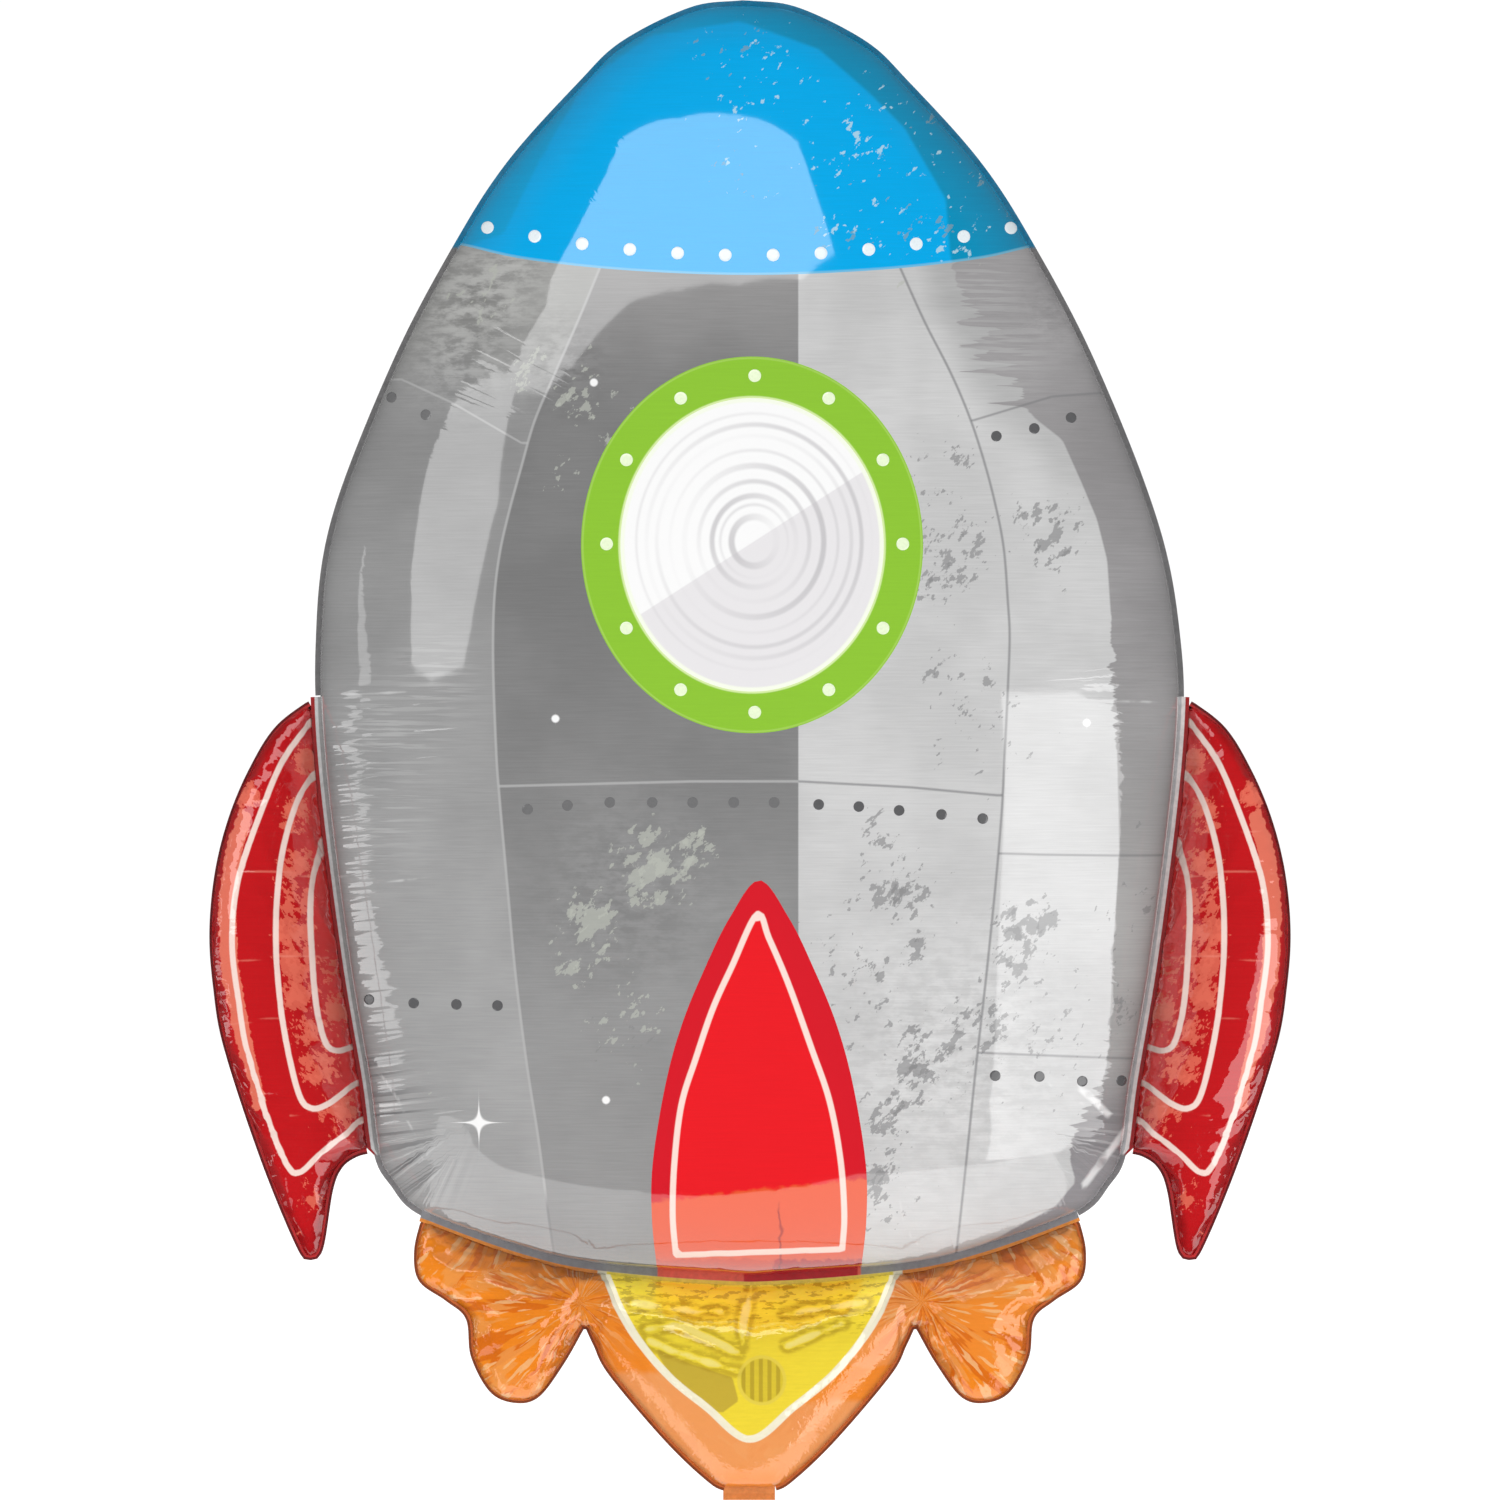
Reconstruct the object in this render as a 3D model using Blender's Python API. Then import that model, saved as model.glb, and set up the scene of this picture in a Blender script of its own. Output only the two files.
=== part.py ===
"""Rocket-shaped foil balloon, built from two sheets of printed film.

The seam plane of the balloon is the plane y = 0. The front sheet bulges towards -Y,
the back sheet is its mirror image. X is the width, Z the height. The origin is the
lowest point of the fill valve strip at the tip of the flame tail.
Outlines are tables of (half width, height) in millimetres, from top to bottom.
"""
import math

import bpy
import numpy as np
from mathutils.geometry import delaunay_2d_cdt

MM = 0.001
GAP = 0.3                # clearance between pieces that touch
WALL = 10.0              # wall of the inflated envelope
WALL_SHARE = 0.12        # thickest wall against the width of a narrow chamber
SEAM = 2.5               # from a chamber's rim to the edge or middle line of its weld
FILM = 1.0               # thickness of the flat welded film
PLUMPNESS = 0.80         # depth of a chamber against a round cross-section
HULL_STEP = 25.0         # facet size on the hull
FIN_STEP = 14.0          # facet size on the side fins
FLAME_STEP = 11.5        # facet size on the flame tail
RIM_ROWS = (0.10, 0.42)  # rows of facets that follow a rim, as a share of the facet size

FIN_TOP = 396.0          # where the side fins leave the hull
FIN_BOTTOM = 170.0
VALVE_WIDTH = 24.0       # fill valve strip, at the tip of the flame tail
VALVE_TOP = 9.0
SHARP_TURN = 42.0        # degrees over which a rim keeps a corner
CLEAR_SHARE = 0.42       # how far loose points stay from a border, as a share of the facet size
TINY = 1e-3

# half width, height
HULL_TOP = (
    (0.0, 738.0), (26.0, 734.6), (60.0, 717.8), (81.0, 698.0), (116.0, 659.0), (141.7, 619.4),
    (172.7, 560.4), (203.4, 481.7), (212.8, 422.6), (212.0, 365.6), (200.7, 271.0),
    (190.0, 206.0), (185.0, 170.0), (177.0, 155.0), (161.5, 139.7),
)
HULL_BOTTOM = ((114.0, 122.5), (74.0, 113.7), (0.0, 108.2))
SIDE_FIN = (
    (233.2, 380.8), (246.0, 360.6), (256.3, 336.5), (263.2, 309.5), (266.0, 280.0),
    (264.2, 252.4), (258.8, 222.0), (240.6, 166.8), (222.4, 123.0), (216.0, 118.0),
    (210.0, 123.5), (205.2, 152.0), (200.7, 163.3), (193.4, 168.8),
)
FLAME_LOBE = (
    (165.3, 122.5), (162.9, 107.7), (149.6, 97.9), (139.8, 89.0), (137.3, 70.4),
    (127.9, 53.1), (115.6, 47.7), (103.8, 50.7), (91.5, 67.0), (81.2, 85.1),
)
FLAME_TIP = ((77.0, 76.0), (69.4, 61.5), (42.3, 29.5), (22.0, 10.0), (12.5, 4.5), (0.0, 4.0))
NOSE_BORDER = ((142.0, 617.2), (110.0, 609.4), (60.0, 603.6), (0.0, 601.2))
CENTRE_FIN = (
    (0.0, 305.5), (14.5, 287.0), (26.3, 263.0), (37.4, 236.0), (45.5, 207.0), (52.0, 168.0),
    (52.6, 140.0), (50.0, 112.0),
)
FLAME_CORE = ((71.8, 112.0), (64.0, 95.4), (54.1, 78.7), (39.4, 61.5), (21.2, 46.7), (0.0, 31.0))
LOBE_BORDER = ((81.2, 87.0), (79.5, 100.0), (77.0, 114.0))

CENTRE_FIN_X = 4.5       # the centre fin sits a little right of the middle
PORTHOLE_CENTRE = (1.0, 469.2)
PORTHOLE_OUTER = (83.5, 92.0)
PORTHOLE_INNER = (64.3, 71.7)

# red, green, blue, roughness, metallic
FINISHES = {
    "nose": (0.00, 0.37, 0.81, 0.30, 0.35),
    "hull": (0.42, 0.42, 0.43, 0.28, 0.75),
    "ring": (0.27, 0.58, 0.03, 0.35, 0.20),
    "pane": (0.88, 0.87, 0.88, 0.35, 0.10),
    "red": (0.75, 0.01, 0.02, 0.30, 0.30),
    "orange": (0.90, 0.23, 0.02, 0.30, 0.40),
    "yellow": (0.85, 0.66, 0.04, 0.30, 0.40),
    "weld": (0.55, 0.60, 0.63, 0.35, 0.70),
}

FIELD_FINISH = {
    "nose": "nose", "hull": "hull", "porthole_ring": "ring", "porthole_pane": "pane",
    "centre_fin": "red", "flame_core": "yellow", "flame_centre": "orange",
    "flame_left": "orange", "flame_right": "orange",
}


def clear_scene():
    for obj in list(bpy.data.objects):
        bpy.data.objects.remove(obj, do_unlink=True)


def make_material(name):
    red, green, blue, roughness, metallic = FINISHES[name]
    material = bpy.data.materials.new(name)
    material.use_nodes = True
    shader = material.node_tree.nodes["Principled BSDF"]
    shader.inputs["Base Color"].default_value = (red, green, blue, 1.0)
    shader.inputs["Roughness"].default_value = roughness
    shader.inputs["Metallic"].default_value = metallic
    return material


def smooth_line(points, steps=24):
    """Return a smooth curve through the points of an open line."""
    p = np.array(points, dtype=float)
    p = np.vstack([2 * p[0] - p[1], p, 2 * p[-1] - p[-2]])
    t = np.linspace(0, 1, steps, endpoint=False)[:, None]
    out = []
    for a, b, c, d in zip(p[:-3], p[1:-2], p[2:-1], p[3:]):
        out.append(0.5 * (2 * b + (c - a) * t + (2 * a - 5 * b + 4 * c - d) * t ** 2
                          + (3 * b - a - 3 * c + d) * t ** 3))
    return np.vstack(out + [p[-2:-1]])


def mirrored(points):
    return np.array(points, dtype=float) * (-1, 1)


def whole_line(half):
    """Join a half line that ends at x = 0 to its mirror image, from right to left."""
    half = np.array(half, dtype=float)
    return smooth_line(np.vstack([half, mirrored(half[:-1])[::-1]]))


def line_length(points):
    return np.concatenate([[0], np.cumsum(np.linalg.norm(np.diff(points, axis=0), axis=1))])


def evenly(points, step):
    """Resample an open line in equal steps of about the given length."""
    along = line_length(points)
    count = max(1, round(along[-1] / step))
    wanted = np.linspace(0, along[-1], count + 1)
    return np.stack([np.interp(wanted, along, points[:, i]) for i in (0, 1)], axis=1)


def outward(points, closed=True):
    """Unit normals on the right-hand side of a line, outside a counterclockwise loop."""
    if closed:
        along = np.roll(points, -1, axis=0) - np.roll(points, 1, axis=0)
    else:
        along = np.gradient(points, axis=0)
    along /= np.linalg.norm(along, axis=1)[:, None]
    return np.stack([along[:, 1], -along[:, 0]], axis=1)


def distance_to(points, loop):
    """Distance from each point to a closed loop."""
    best = np.full(len(points), np.inf)
    for start, end in zip(loop, np.roll(loop, -1, axis=0)):
        run = end - start
        t = np.clip(((points - start) @ run) / max(run @ run, 1e-12), 0, 1)
        best = np.minimum(best, np.linalg.norm(points - start - t[:, None] * run, axis=1))
    return best


def inside(points, loop):
    """Tell which points lie inside a closed loop."""
    x, z = points[:, 0], points[:, 1]
    result = np.zeros(len(points), dtype=bool)
    for (ax, az), (bx, bz) in zip(loop, np.roll(loop, -1, axis=0)):
        if az != bz:
            crosses = (az > z) != (bz > z)
            result ^= crosses & (x < (bx - ax) * (z - az) / (bz - az) + ax)
    return result


def inset(loop, distance):
    """Move a closed loop inwards, and drop what folds over itself in a narrow tip."""
    moved = loop - outward(loop) * distance
    return moved[distance_to(moved, loop) > 0.985 * distance]


def rim_points(loop, marks, step):
    """Resample a closed loop in equal steps, with a point at each sharp corner and mark."""
    window = 3
    before = loop - np.roll(loop, window, axis=0)
    after = np.roll(loop, -window, axis=0) - loop
    turn = np.abs(np.arctan2(before[:, 0] * after[:, 1] - before[:, 1] * after[:, 0],
                             (before * after).sum(axis=1)))
    sharp = math.radians(SHARP_TURN)
    kept = {int(np.argmin(np.linalg.norm(loop - mark, axis=1))) for mark in marks}
    for i in np.argsort(-turn):
        if turn[i] < sharp:
            break
        near = [min(abs(i - k), len(loop) - abs(i - k)) for k in kept]
        if not near or min(near) > 2 * window:
            kept.add(int(i))
    kept = sorted(kept)
    out = []
    for start, end in zip(kept, kept[1:] + [kept[0] + len(loop)]):
        run = loop[np.arange(start, end + 1) % len(loop)]
        out.append(evenly(run, step)[:-1])
    return np.vstack(out)


def counterclockwise(loop):
    x, z = loop[:, 0], loop[:, 1]
    area = np.sum(x * np.roll(z, -1) - np.roll(x, -1) * z)
    return loop if area > 0 else loop[::-1]


def dense_loop(points):
    """A closed loop with a point about every millimetre, and no doubled end point."""
    loop = evenly(np.vstack([points, points[:1]]), 1.0)[:-1]
    return counterclockwise(loop)


def hull_loop():
    half = smooth_line(HULL_TOP + HULL_BOTTOM)
    return dense_loop(np.vstack([half, mirrored(half)[::-1][1:-1]]))


def hull_side(low, high):
    """The right side of the hull's film line between two heights, from low to high."""
    loop = hull_loop()
    side = loop[(loop[:, 0] > 150) & (loop[:, 1] >= low) & (loop[:, 1] <= high)]
    return side[np.argsort(side[:, 1])]


def fin_loop():
    side = hull_side(FIN_BOTTOM, FIN_TOP)
    outer = smooth_line(np.vstack([side[-1:], SIDE_FIN, side[:1]]))
    return dense_loop(np.vstack([side, outer[1:-1]]))


def flame_loop():
    bottom = whole_line(HULL_TOP[-1:] + HULL_BOTTOM)
    lobe = smooth_line(HULL_TOP[-1:] + FLAME_LOBE)
    tip = smooth_line(FLAME_LOBE[-1:] + FLAME_TIP)
    half = np.vstack([lobe, tip[1:]])
    return dense_loop(np.vstack([bottom[::-1][1:-1], half, mirrored(half)[::-1][1:]]))


def oval(centre, radii, count):
    angle = np.linspace(0, 2 * math.pi, count, endpoint=False) + math.pi / 2
    return np.stack([centre[0] + radii[0] * np.cos(angle),
                     centre[1] + radii[1] * np.sin(angle)], axis=1)


def there_and_back(line):
    """A closed loop that runs along an open line and back."""
    return np.vstack([line, line[-2:0:-1]])


def with_rim_rows(line, step):
    """Add points near both ends of a border, level with the rows along the rim."""
    shares = np.array(RIM_ROWS)[:, None]
    first = line[0] + (line[1] - line[0]) * shares * step / np.linalg.norm(line[1] - line[0])
    last = line[-1] + (line[-2] - line[-1]) * shares * step / np.linalg.norm(line[-2] - line[-1])
    return np.vstack([line[:1], first, line[1:-1], last[::-1], line[-1:]])


class Chamber:
    """One gas-filled chamber: its rim, its facets in the seam plane and its depth."""

    def __init__(self, loop, step, marks=(), borders=(), ovals=()):
        self.rim = rim_points(inset(loop, SEAM), marks, step)
        lines = []
        for border in borders:
            line = evenly(border, step)
            for end in (0, -1):
                nearest = np.argmin(np.linalg.norm(self.rim - line[end], axis=1))
                line[end] = self.rim[nearest]
            lines.append(with_rim_rows(line, step))
        lines += [np.vstack([loop, loop[:1]]) for loop in ovals]
        self.lines = lines
        self.fill(step, lines)
        self.inflate()

    def on_border(self, points):
        best = np.full(len(points), np.inf)
        for line in self.lines:
            best = np.minimum(best, distance_to(points, there_and_back(line)))
        return best < TINY

    def fields(self, seeds):
        """Split the facets into fields of film along the borders, one for each seed point."""
        edges = {}
        for number, facet in enumerate(self.facets):
            for i in range(3):
                edges.setdefault(tuple(sorted((facet[i], facet[(i + 1) % 3]))), []).append(number)
        pairs = [(edge, owners) for edge, owners in edges.items() if len(owners) == 2]
        middles = np.array([self.points[list(edge)].mean(axis=0) for edge, owners in pairs])
        closed = self.on_border(middles)
        label = np.arange(len(self.facets))
        links = np.array([owners for (edge, owners), shut in zip(pairs, closed) if not shut])
        changed = True
        while changed:
            low = label[links].min(axis=1)
            changed = bool((label[links] != low[:, None]).any())
            np.minimum.at(label, links[:, 0], low)
            np.minimum.at(label, links[:, 1], low)
        centres = self.points[self.facets].mean(axis=1)
        found = {}
        for name, seed in seeds.items():
            nearest = np.argmin(np.linalg.norm(centres - seed, axis=1))
            found[name] = self.facets[label == label[nearest]]
        return found

    def fill(self, step, lines):
        rows = []
        for share in RIM_ROWS:
            row = self.rim - outward(self.rim) * share * step
            rows.append(row[distance_to(row, self.rim) > 0.9 * share * step])
        low, high = self.rim.min(axis=0), self.rim.max(axis=0)
        reach = 0.5 * (high[0] - low[0])
        middle = 0.5 * (high[0] + low[0])
        grid = []
        for row, z in enumerate(np.arange(low[1], high[1], step * math.sqrt(0.75))):
            count = math.ceil(reach / step) + 1
            x = middle + (np.arange(-count, count + 1) + 0.5 * (row % 2)) * step
            grid.append(np.stack([x, np.full(len(x), z)], axis=1))
        grid = np.vstack(grid)
        far = distance_to(grid, self.rim) > (RIM_ROWS[-1] + 0.5) * step
        clear = inside(grid, self.rim) & far
        loose = np.vstack(rows + [grid[clear]])
        edges = [(i, (i + 1) % len(self.rim)) for i in range(len(self.rim))]
        points = list(self.rim)
        for line in lines:
            loose = loose[distance_to(loose, there_and_back(line)) > CLEAR_SHARE * step]
            index = []
            for point in line:
                gaps = np.linalg.norm(np.array(points) - point, axis=1)
                if gaps.min() < 1e-6:
                    index.append(int(np.argmin(gaps)))
                else:
                    index.append(len(points))
                    points.append(point)
            edges += list(zip(index[:-1], index[1:]))
        points = np.vstack([points, loose])
        found = delaunay_2d_cdt([tuple(p) for p in points], edges, [], 0, 1e-4, False)
        self.points = np.array([tuple(p) for p in found[0]])
        facets = np.array([f for f in found[2]])
        centres = self.points[facets].mean(axis=1)
        self.facets = facets[inside(centres, self.rim)]
        self.on_rim = distance_to(self.points, self.rim) < TINY

    def inflate(self):
        """Depth of each point, from a membrane that is held at the rim and blown up."""
        a, b, c = (self.points[self.facets[:, i]] for i in range(3))
        double = (b[:, 0] - a[:, 0]) * (c[:, 1] - a[:, 1]) - (c[:, 0] - a[:, 0]) * (b[:, 1] - a[:, 1])
        flip = double < 0
        self.facets[flip] = self.facets[flip][:, ::-1]
        a, b, c = (self.points[self.facets[:, i]] for i in range(3))
        area = 0.5 * np.abs(double)
        slope = np.stack([b - c, c - a, a - b], axis=1)
        size = len(self.points)
        stiff = np.zeros((size, size))
        load = np.zeros(size)
        for i in range(3):
            np.add.at(load, self.facets[:, i], area / 3)
            for j in range(3):
                value = (slope[:, i] * slope[:, j]).sum(axis=1) / (4 * area)
                np.add.at(stiff, (self.facets[:, i], self.facets[:, j]), value)
        free = ~self.on_rim
        lift = np.zeros(size)
        lift[free] = np.linalg.solve(stiff[np.ix_(free, free)], load[free])
        self.depth = PLUMPNESS * np.sqrt(2 * np.maximum(lift, 0))
        self.place()

    def place(self):
        """Points of the outer and inner face of the front sheet, in three dimensions."""
        x, z = self.points.T
        outer = np.stack([x, -self.depth - GAP / 2, z], axis=1)
        a, b, c = (outer[self.facets[:, i]] for i in range(3))
        face = np.cross(b - a, c - a)
        normal = np.zeros_like(outer)
        for i in range(3):
            np.add.at(normal, self.facets[:, i], face)
        rim = np.where(self.on_rim)[0]
        nearest = [int(np.argmin(np.linalg.norm(self.rim - self.points[i], axis=1))) for i in rim]
        side = outward(self.rim)[nearest]
        normal[rim] = np.stack([side[:, 0], np.zeros(len(rim)), side[:, 1]], axis=1)
        self.normal = normal / np.linalg.norm(normal, axis=1)[:, None]
        across = self.narrowness()
        wall = np.minimum(WALL, WALL_SHARE * across)
        self.outer = outer
        self.inner = outer - self.normal * wall[:, None]
        self.inner[:, 1] = np.minimum(self.inner[:, 1], -GAP / 2)

    def narrowness(self):
        """Width of the chamber near each point, so that a narrow tip gets a thinner wall."""
        side = outward(self.rim)
        width = []
        for point, normal in zip(self.rim, side):
            reach = self.rim - point
            depth = -(reach @ normal)
            size = (reach ** 2).sum(axis=1)
            ball = np.where(depth > 1e-6, size / np.maximum(2 * depth, 1e-6), 1e9)
            width.append(2 * max(ball.min(), 1.0))
        width = np.array(width)
        gaps = np.linalg.norm(self.points[:, None] - self.rim[None], axis=2)
        weight = 1.0 / (gaps + 1.0) ** 3
        return (weight * width).sum(axis=1) / weight.sum(axis=1)


def shifted(chamber, facets):
    """Shift of each point that draws one field of film back from its neighbours."""
    edges = {(facet[i], facet[(i + 1) % 3]): True for facet in facets for i in range(3)}
    shift = np.zeros_like(chamber.outer)
    for start, end in edges:
        if (end, start) in edges:
            continue
        if chamber.on_rim[start] and chamber.on_rim[end]:
            continue
        run = chamber.outer[end] - chamber.outer[start]
        for i in (start, end):
            across = np.cross(chamber.normal[i], run)
            if chamber.on_rim[i]:
                across[1] = 0
            shift[i] += across / np.linalg.norm(across)
    size = np.linalg.norm(shift, axis=1)
    moved = size > 0
    shift[moved] *= (GAP / 2 / size[moved])[:, None]
    return shift


def field_mesh(chamber, facets, mirror_x, mirror_y):
    """Closed solid of one field of film: outer face, inner face and the walls between."""
    shift = shifted(chamber, facets)
    used = sorted(set(facets.ravel().tolist()))
    place = {old: new for new, old in enumerate(used)}
    outer = (chamber.outer + shift)[used]
    inner = (chamber.inner + shift)[used]
    points = np.vstack([outer, inner])
    depth = len(used)
    faces = []
    edges = set()
    for facet in facets:
        a, b, c = (place[i] for i in facet)
        faces.append((a, b, c))
        faces.append((c + depth, b + depth, a + depth))
        edges.update(((a, b), (b, c), (c, a)))
    for a, b in sorted(edges):
        if (b, a) in edges:
            continue
        if a < b:
            faces += [(b, a, a + depth), (b, a + depth, b + depth)]
        else:
            faces += [(b, a, b + depth), (a, a + depth, b + depth)]
    flips = 0
    if mirror_x:
        points = points * (-1, 1, 1)
        flips += 1
    if mirror_y:
        points = points * (1, -1, 1)
        flips += 1
    if flips % 2:
        faces = [face[::-1] for face in faces]
    return points, faces


def plate_mesh(loop):
    """Flat piece of welded film that fills a loop in the seam plane."""
    loop = counterclockwise(np.array(loop, dtype=float))
    edges = [(i, (i + 1) % len(loop)) for i in range(len(loop))]
    found = delaunay_2d_cdt([tuple(p) for p in loop], edges, [], 0, 1e-5, False)
    flat = np.array([tuple(p) for p in found[0]])
    facets = np.array([f for f in found[2]])
    facets = facets[inside(flat[facets].mean(axis=1), loop)]
    front = np.stack([flat[:, 0], np.full(len(flat), -FILM / 2), flat[:, 1]], axis=1)
    points = np.vstack([front, front * (1, -1, 1)])
    depth = len(flat)
    faces = []
    sides = {}
    for facet in facets:
        a, b, c = (int(i) for i in facet)
        p, q, r = flat[a], flat[b], flat[c]
        if (q[0] - p[0]) * (r[1] - p[1]) - (r[0] - p[0]) * (q[1] - p[1]) < 0:
            b, c = c, b
        faces += [(a, b, c), (c + depth, b + depth, a + depth)]
        sides.update({(a, b): True, (b, c): True, (c, a): True})
    for a, b in sides:
        if (b, a) not in sides:
            faces += [(b, a, a + depth), (b, a + depth, b + depth)]
    return points, faces


def add_object(name, mesh_data, material):
    points, faces = mesh_data
    mesh = bpy.data.meshes.new(name)
    corners = [tuple(int(i) for i in face) for face in faces]
    mesh.from_pydata([tuple(p * MM) for p in points], [], corners)
    mesh.shade_smooth()
    mesh.set_sharp_from_angle(angle=math.radians(SHARP_TURN))
    mesh.materials.append(material)
    obj = bpy.data.objects.new(name, mesh)
    bpy.context.collection.objects.link(obj)
    return obj


def run_between(rim, start, end):
    """The stretch of a closed rim from the point nearest start to the one nearest end."""
    first = int(np.argmin(np.linalg.norm(rim - start, axis=1)))
    last = int(np.argmin(np.linalg.norm(rim - end, axis=1)))
    if last < first:
        last += len(rim)
    return rim[np.arange(first, last + 1) % len(rim)]


def trimmed(line, cut=GAP):
    """Shorten an open line at both ends, so that pieces in a row don't touch."""
    line = np.array(line)
    for end, nxt in ((0, 1), (-1, -2)):
        run = line[nxt] - line[end]
        line[end] = line[end] + run * (cut / np.linalg.norm(run))
    return line


def edge_strip(line):
    """Loop of the flat welded edge along the outside of a stretch of rim."""
    line = trimmed(line)
    side = outward(line, closed=False)
    return np.vstack([line + side * GAP, (line + side * SEAM)[::-1]])


def build_hull(finishes):
    nose = whole_line(NOSE_BORDER)
    fin = whole_line(CENTRE_FIN[::-1]) + (CENTRE_FIN_X, 0)
    ring = oval(PORTHOLE_CENTRE, PORTHOLE_OUTER, 36)
    pane = oval(PORTHOLE_CENTRE, PORTHOLE_INNER, 30)
    side = HULL_TOP[-1]
    marks = [nose[0], nose[-1], fin[0], fin[-1], side, (-side[0], side[1])]
    for height in (FIN_TOP, FIN_BOTTOM):
        x = hull_side(height - 1, height + 1)[:, 0].mean()
        marks += [(x, height), (-x, height)]
    hull = Chamber(hull_loop(), HULL_STEP, np.array(marks), (nose, fin), (ring, pane))
    middle = PORTHOLE_CENTRE[1]
    in_ring = (PORTHOLE_OUTER[0] + PORTHOLE_INNER[0]) / 2
    seeds = {
        "nose": (0, 680), "hull": (-120, 300), "porthole_ring": (in_ring, middle),
        "porthole_pane": PORTHOLE_CENTRE, "centre_fin": (CENTRE_FIN_X, 200),
    }
    add_fields(hull, seeds, finishes)
    return hull


def add_fields(chamber, seeds, finishes):
    for name, facets in chamber.fields(seeds).items():
        add_field(name, chamber, facets, finishes[FIELD_FINISH[name]])


def add_field(name, chamber, facets, material, mirror_x=False):
    for side, mirror_y in (("front", False), ("back", True)):
        mesh = field_mesh(chamber, facets, mirror_x, mirror_y)
        add_object(f"{name}_{side}", mesh, material)


def build_fins(finishes):
    fin = Chamber(fin_loop(), FIN_STEP)
    for side, mirror_x in (("left", True), ("right", False)):
        add_field(f"fin_{side}", fin, fin.facets, finishes["red"], mirror_x)
    return fin


def build_flames(finishes):
    core = whole_line(FLAME_CORE)
    right = smooth_line(LOBE_BORDER)
    left = mirrored(right)
    marks = [core[0], core[-1], right[0], right[-1], left[0], left[-1]]
    flame = Chamber(flame_loop(), FLAME_STEP, np.array(marks), (core, right, left))
    seeds = {
        "flame_core": (0, 80), "flame_centre": (0, 18),
        "flame_left": (-120, 80), "flame_right": (120, 80),
    }
    add_fields(flame, seeds, finishes)
    return flame


def build_edges(hull, fin, flame, material):
    """Flat welded film: along the free edges, and between one chamber and the next."""
    top = hull_side(FIN_TOP - 1, FIN_TOP + 1)[0]
    low = hull_side(FIN_BOTTOM - 1, FIN_BOTTOM + 1)[0]
    corner = np.array(HULL_TOP[-1])
    plates = {"seam_top": edge_strip(run_between(hull.rim, top, mirrored(top)))}

    tip = fin.rim[np.argmax(fin.rim[:, 1])]
    foot = fin.rim[np.argmin(np.linalg.norm(fin.rim - low, axis=1))]
    hull_part = trimmed(run_between(hull.rim, corner, top))
    fin_part = run_between(fin.rim, tip, foot)
    below = trimmed(run_between(hull.rim, corner, low))
    weld = np.vstack([
        hull_part + outward(hull_part, closed=False) * GAP,
        fin_part + outward(fin_part, closed=False) * GAP,
        (below + outward(below, closed=False) * SEAM)[:-1][::-1],
    ])
    edge = edge_strip(run_between(fin.rim, foot, tip))
    valve = np.array((VALVE_WIDTH / 2, VALVE_TOP))
    flame_end = run_between(flame.rim, mirrored(valve), valve)
    right_run = run_between(flame.rim, valve, corner)
    left_run = run_between(flame.rim, mirrored(corner), mirrored(valve))
    plates["rim_flame_right"] = edge_strip(right_run)
    plates["rim_flame_left"] = edge_strip(left_run)
    for side, flip in (("right", False), ("left", True)):
        plates[f"seam_{side}"] = mirrored(weld) if flip else weld
        plates[f"rim_fin_{side}"] = mirrored(edge) if flip else edge

    hull_part = trimmed(run_between(hull.rim, mirrored(corner), corner))
    flame_part = trimmed(run_between(flame.rim, corner, mirrored(corner)))
    plates["seam_bottom"] = np.vstack([
        hull_part + outward(hull_part, closed=False) * GAP,
        flame_part + outward(flame_part, closed=False) * GAP,
    ])
    half = VALVE_WIDTH / 2
    line = trimmed(flame_end)
    plates["fill_valve"] = np.vstack([
        [(-half, 0), (half, 0)], (line + outward(line, closed=False) * GAP)[::-1],
    ])
    for name, loop in plates.items():
        add_object(name, plate_mesh(loop), material)


def main():
    clear_scene()
    finishes = {name: make_material(name) for name in FINISHES}
    hull = build_hull(finishes)
    fin = build_fins(finishes)
    flame = build_flames(finishes)
    build_edges(hull, fin, flame, finishes["weld"])


main()
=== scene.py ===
"""Looks of the rocket-shaped foil balloon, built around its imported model.

The balloon is two printed sheets of film that mirror each other in the seam plane y = 0.
Each gas chamber is worked out as a membrane that is held at its rim and blown up, then
puckered or crumpled, and cut into the fields of print that the model names. X is the width,
Z the height. Outlines are tables of (half width, height) in millimetres, from top to bottom.
"""
import math

import bmesh
import bpy
import numpy as np
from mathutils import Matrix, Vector, noise
from mathutils.geometry import delaunay_2d_cdt
from mathutils.kdtree import KDTree


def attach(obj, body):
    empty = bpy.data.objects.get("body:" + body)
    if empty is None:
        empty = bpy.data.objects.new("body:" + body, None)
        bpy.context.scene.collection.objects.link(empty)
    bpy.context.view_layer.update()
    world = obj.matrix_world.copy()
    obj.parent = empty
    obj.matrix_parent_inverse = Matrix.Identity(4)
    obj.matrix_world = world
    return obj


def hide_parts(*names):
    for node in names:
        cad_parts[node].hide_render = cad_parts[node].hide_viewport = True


bl_info = {
    "name": "Rocket foil balloon",
    "version": (1, 0, 0),
    "blender": (4, 5, 0),
    "location": "View3D > Sidebar > Balloon",
    "description": "Builds the printed, puckered film of a rocket-shaped foil balloon",
    "category": "Object",
}

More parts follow.
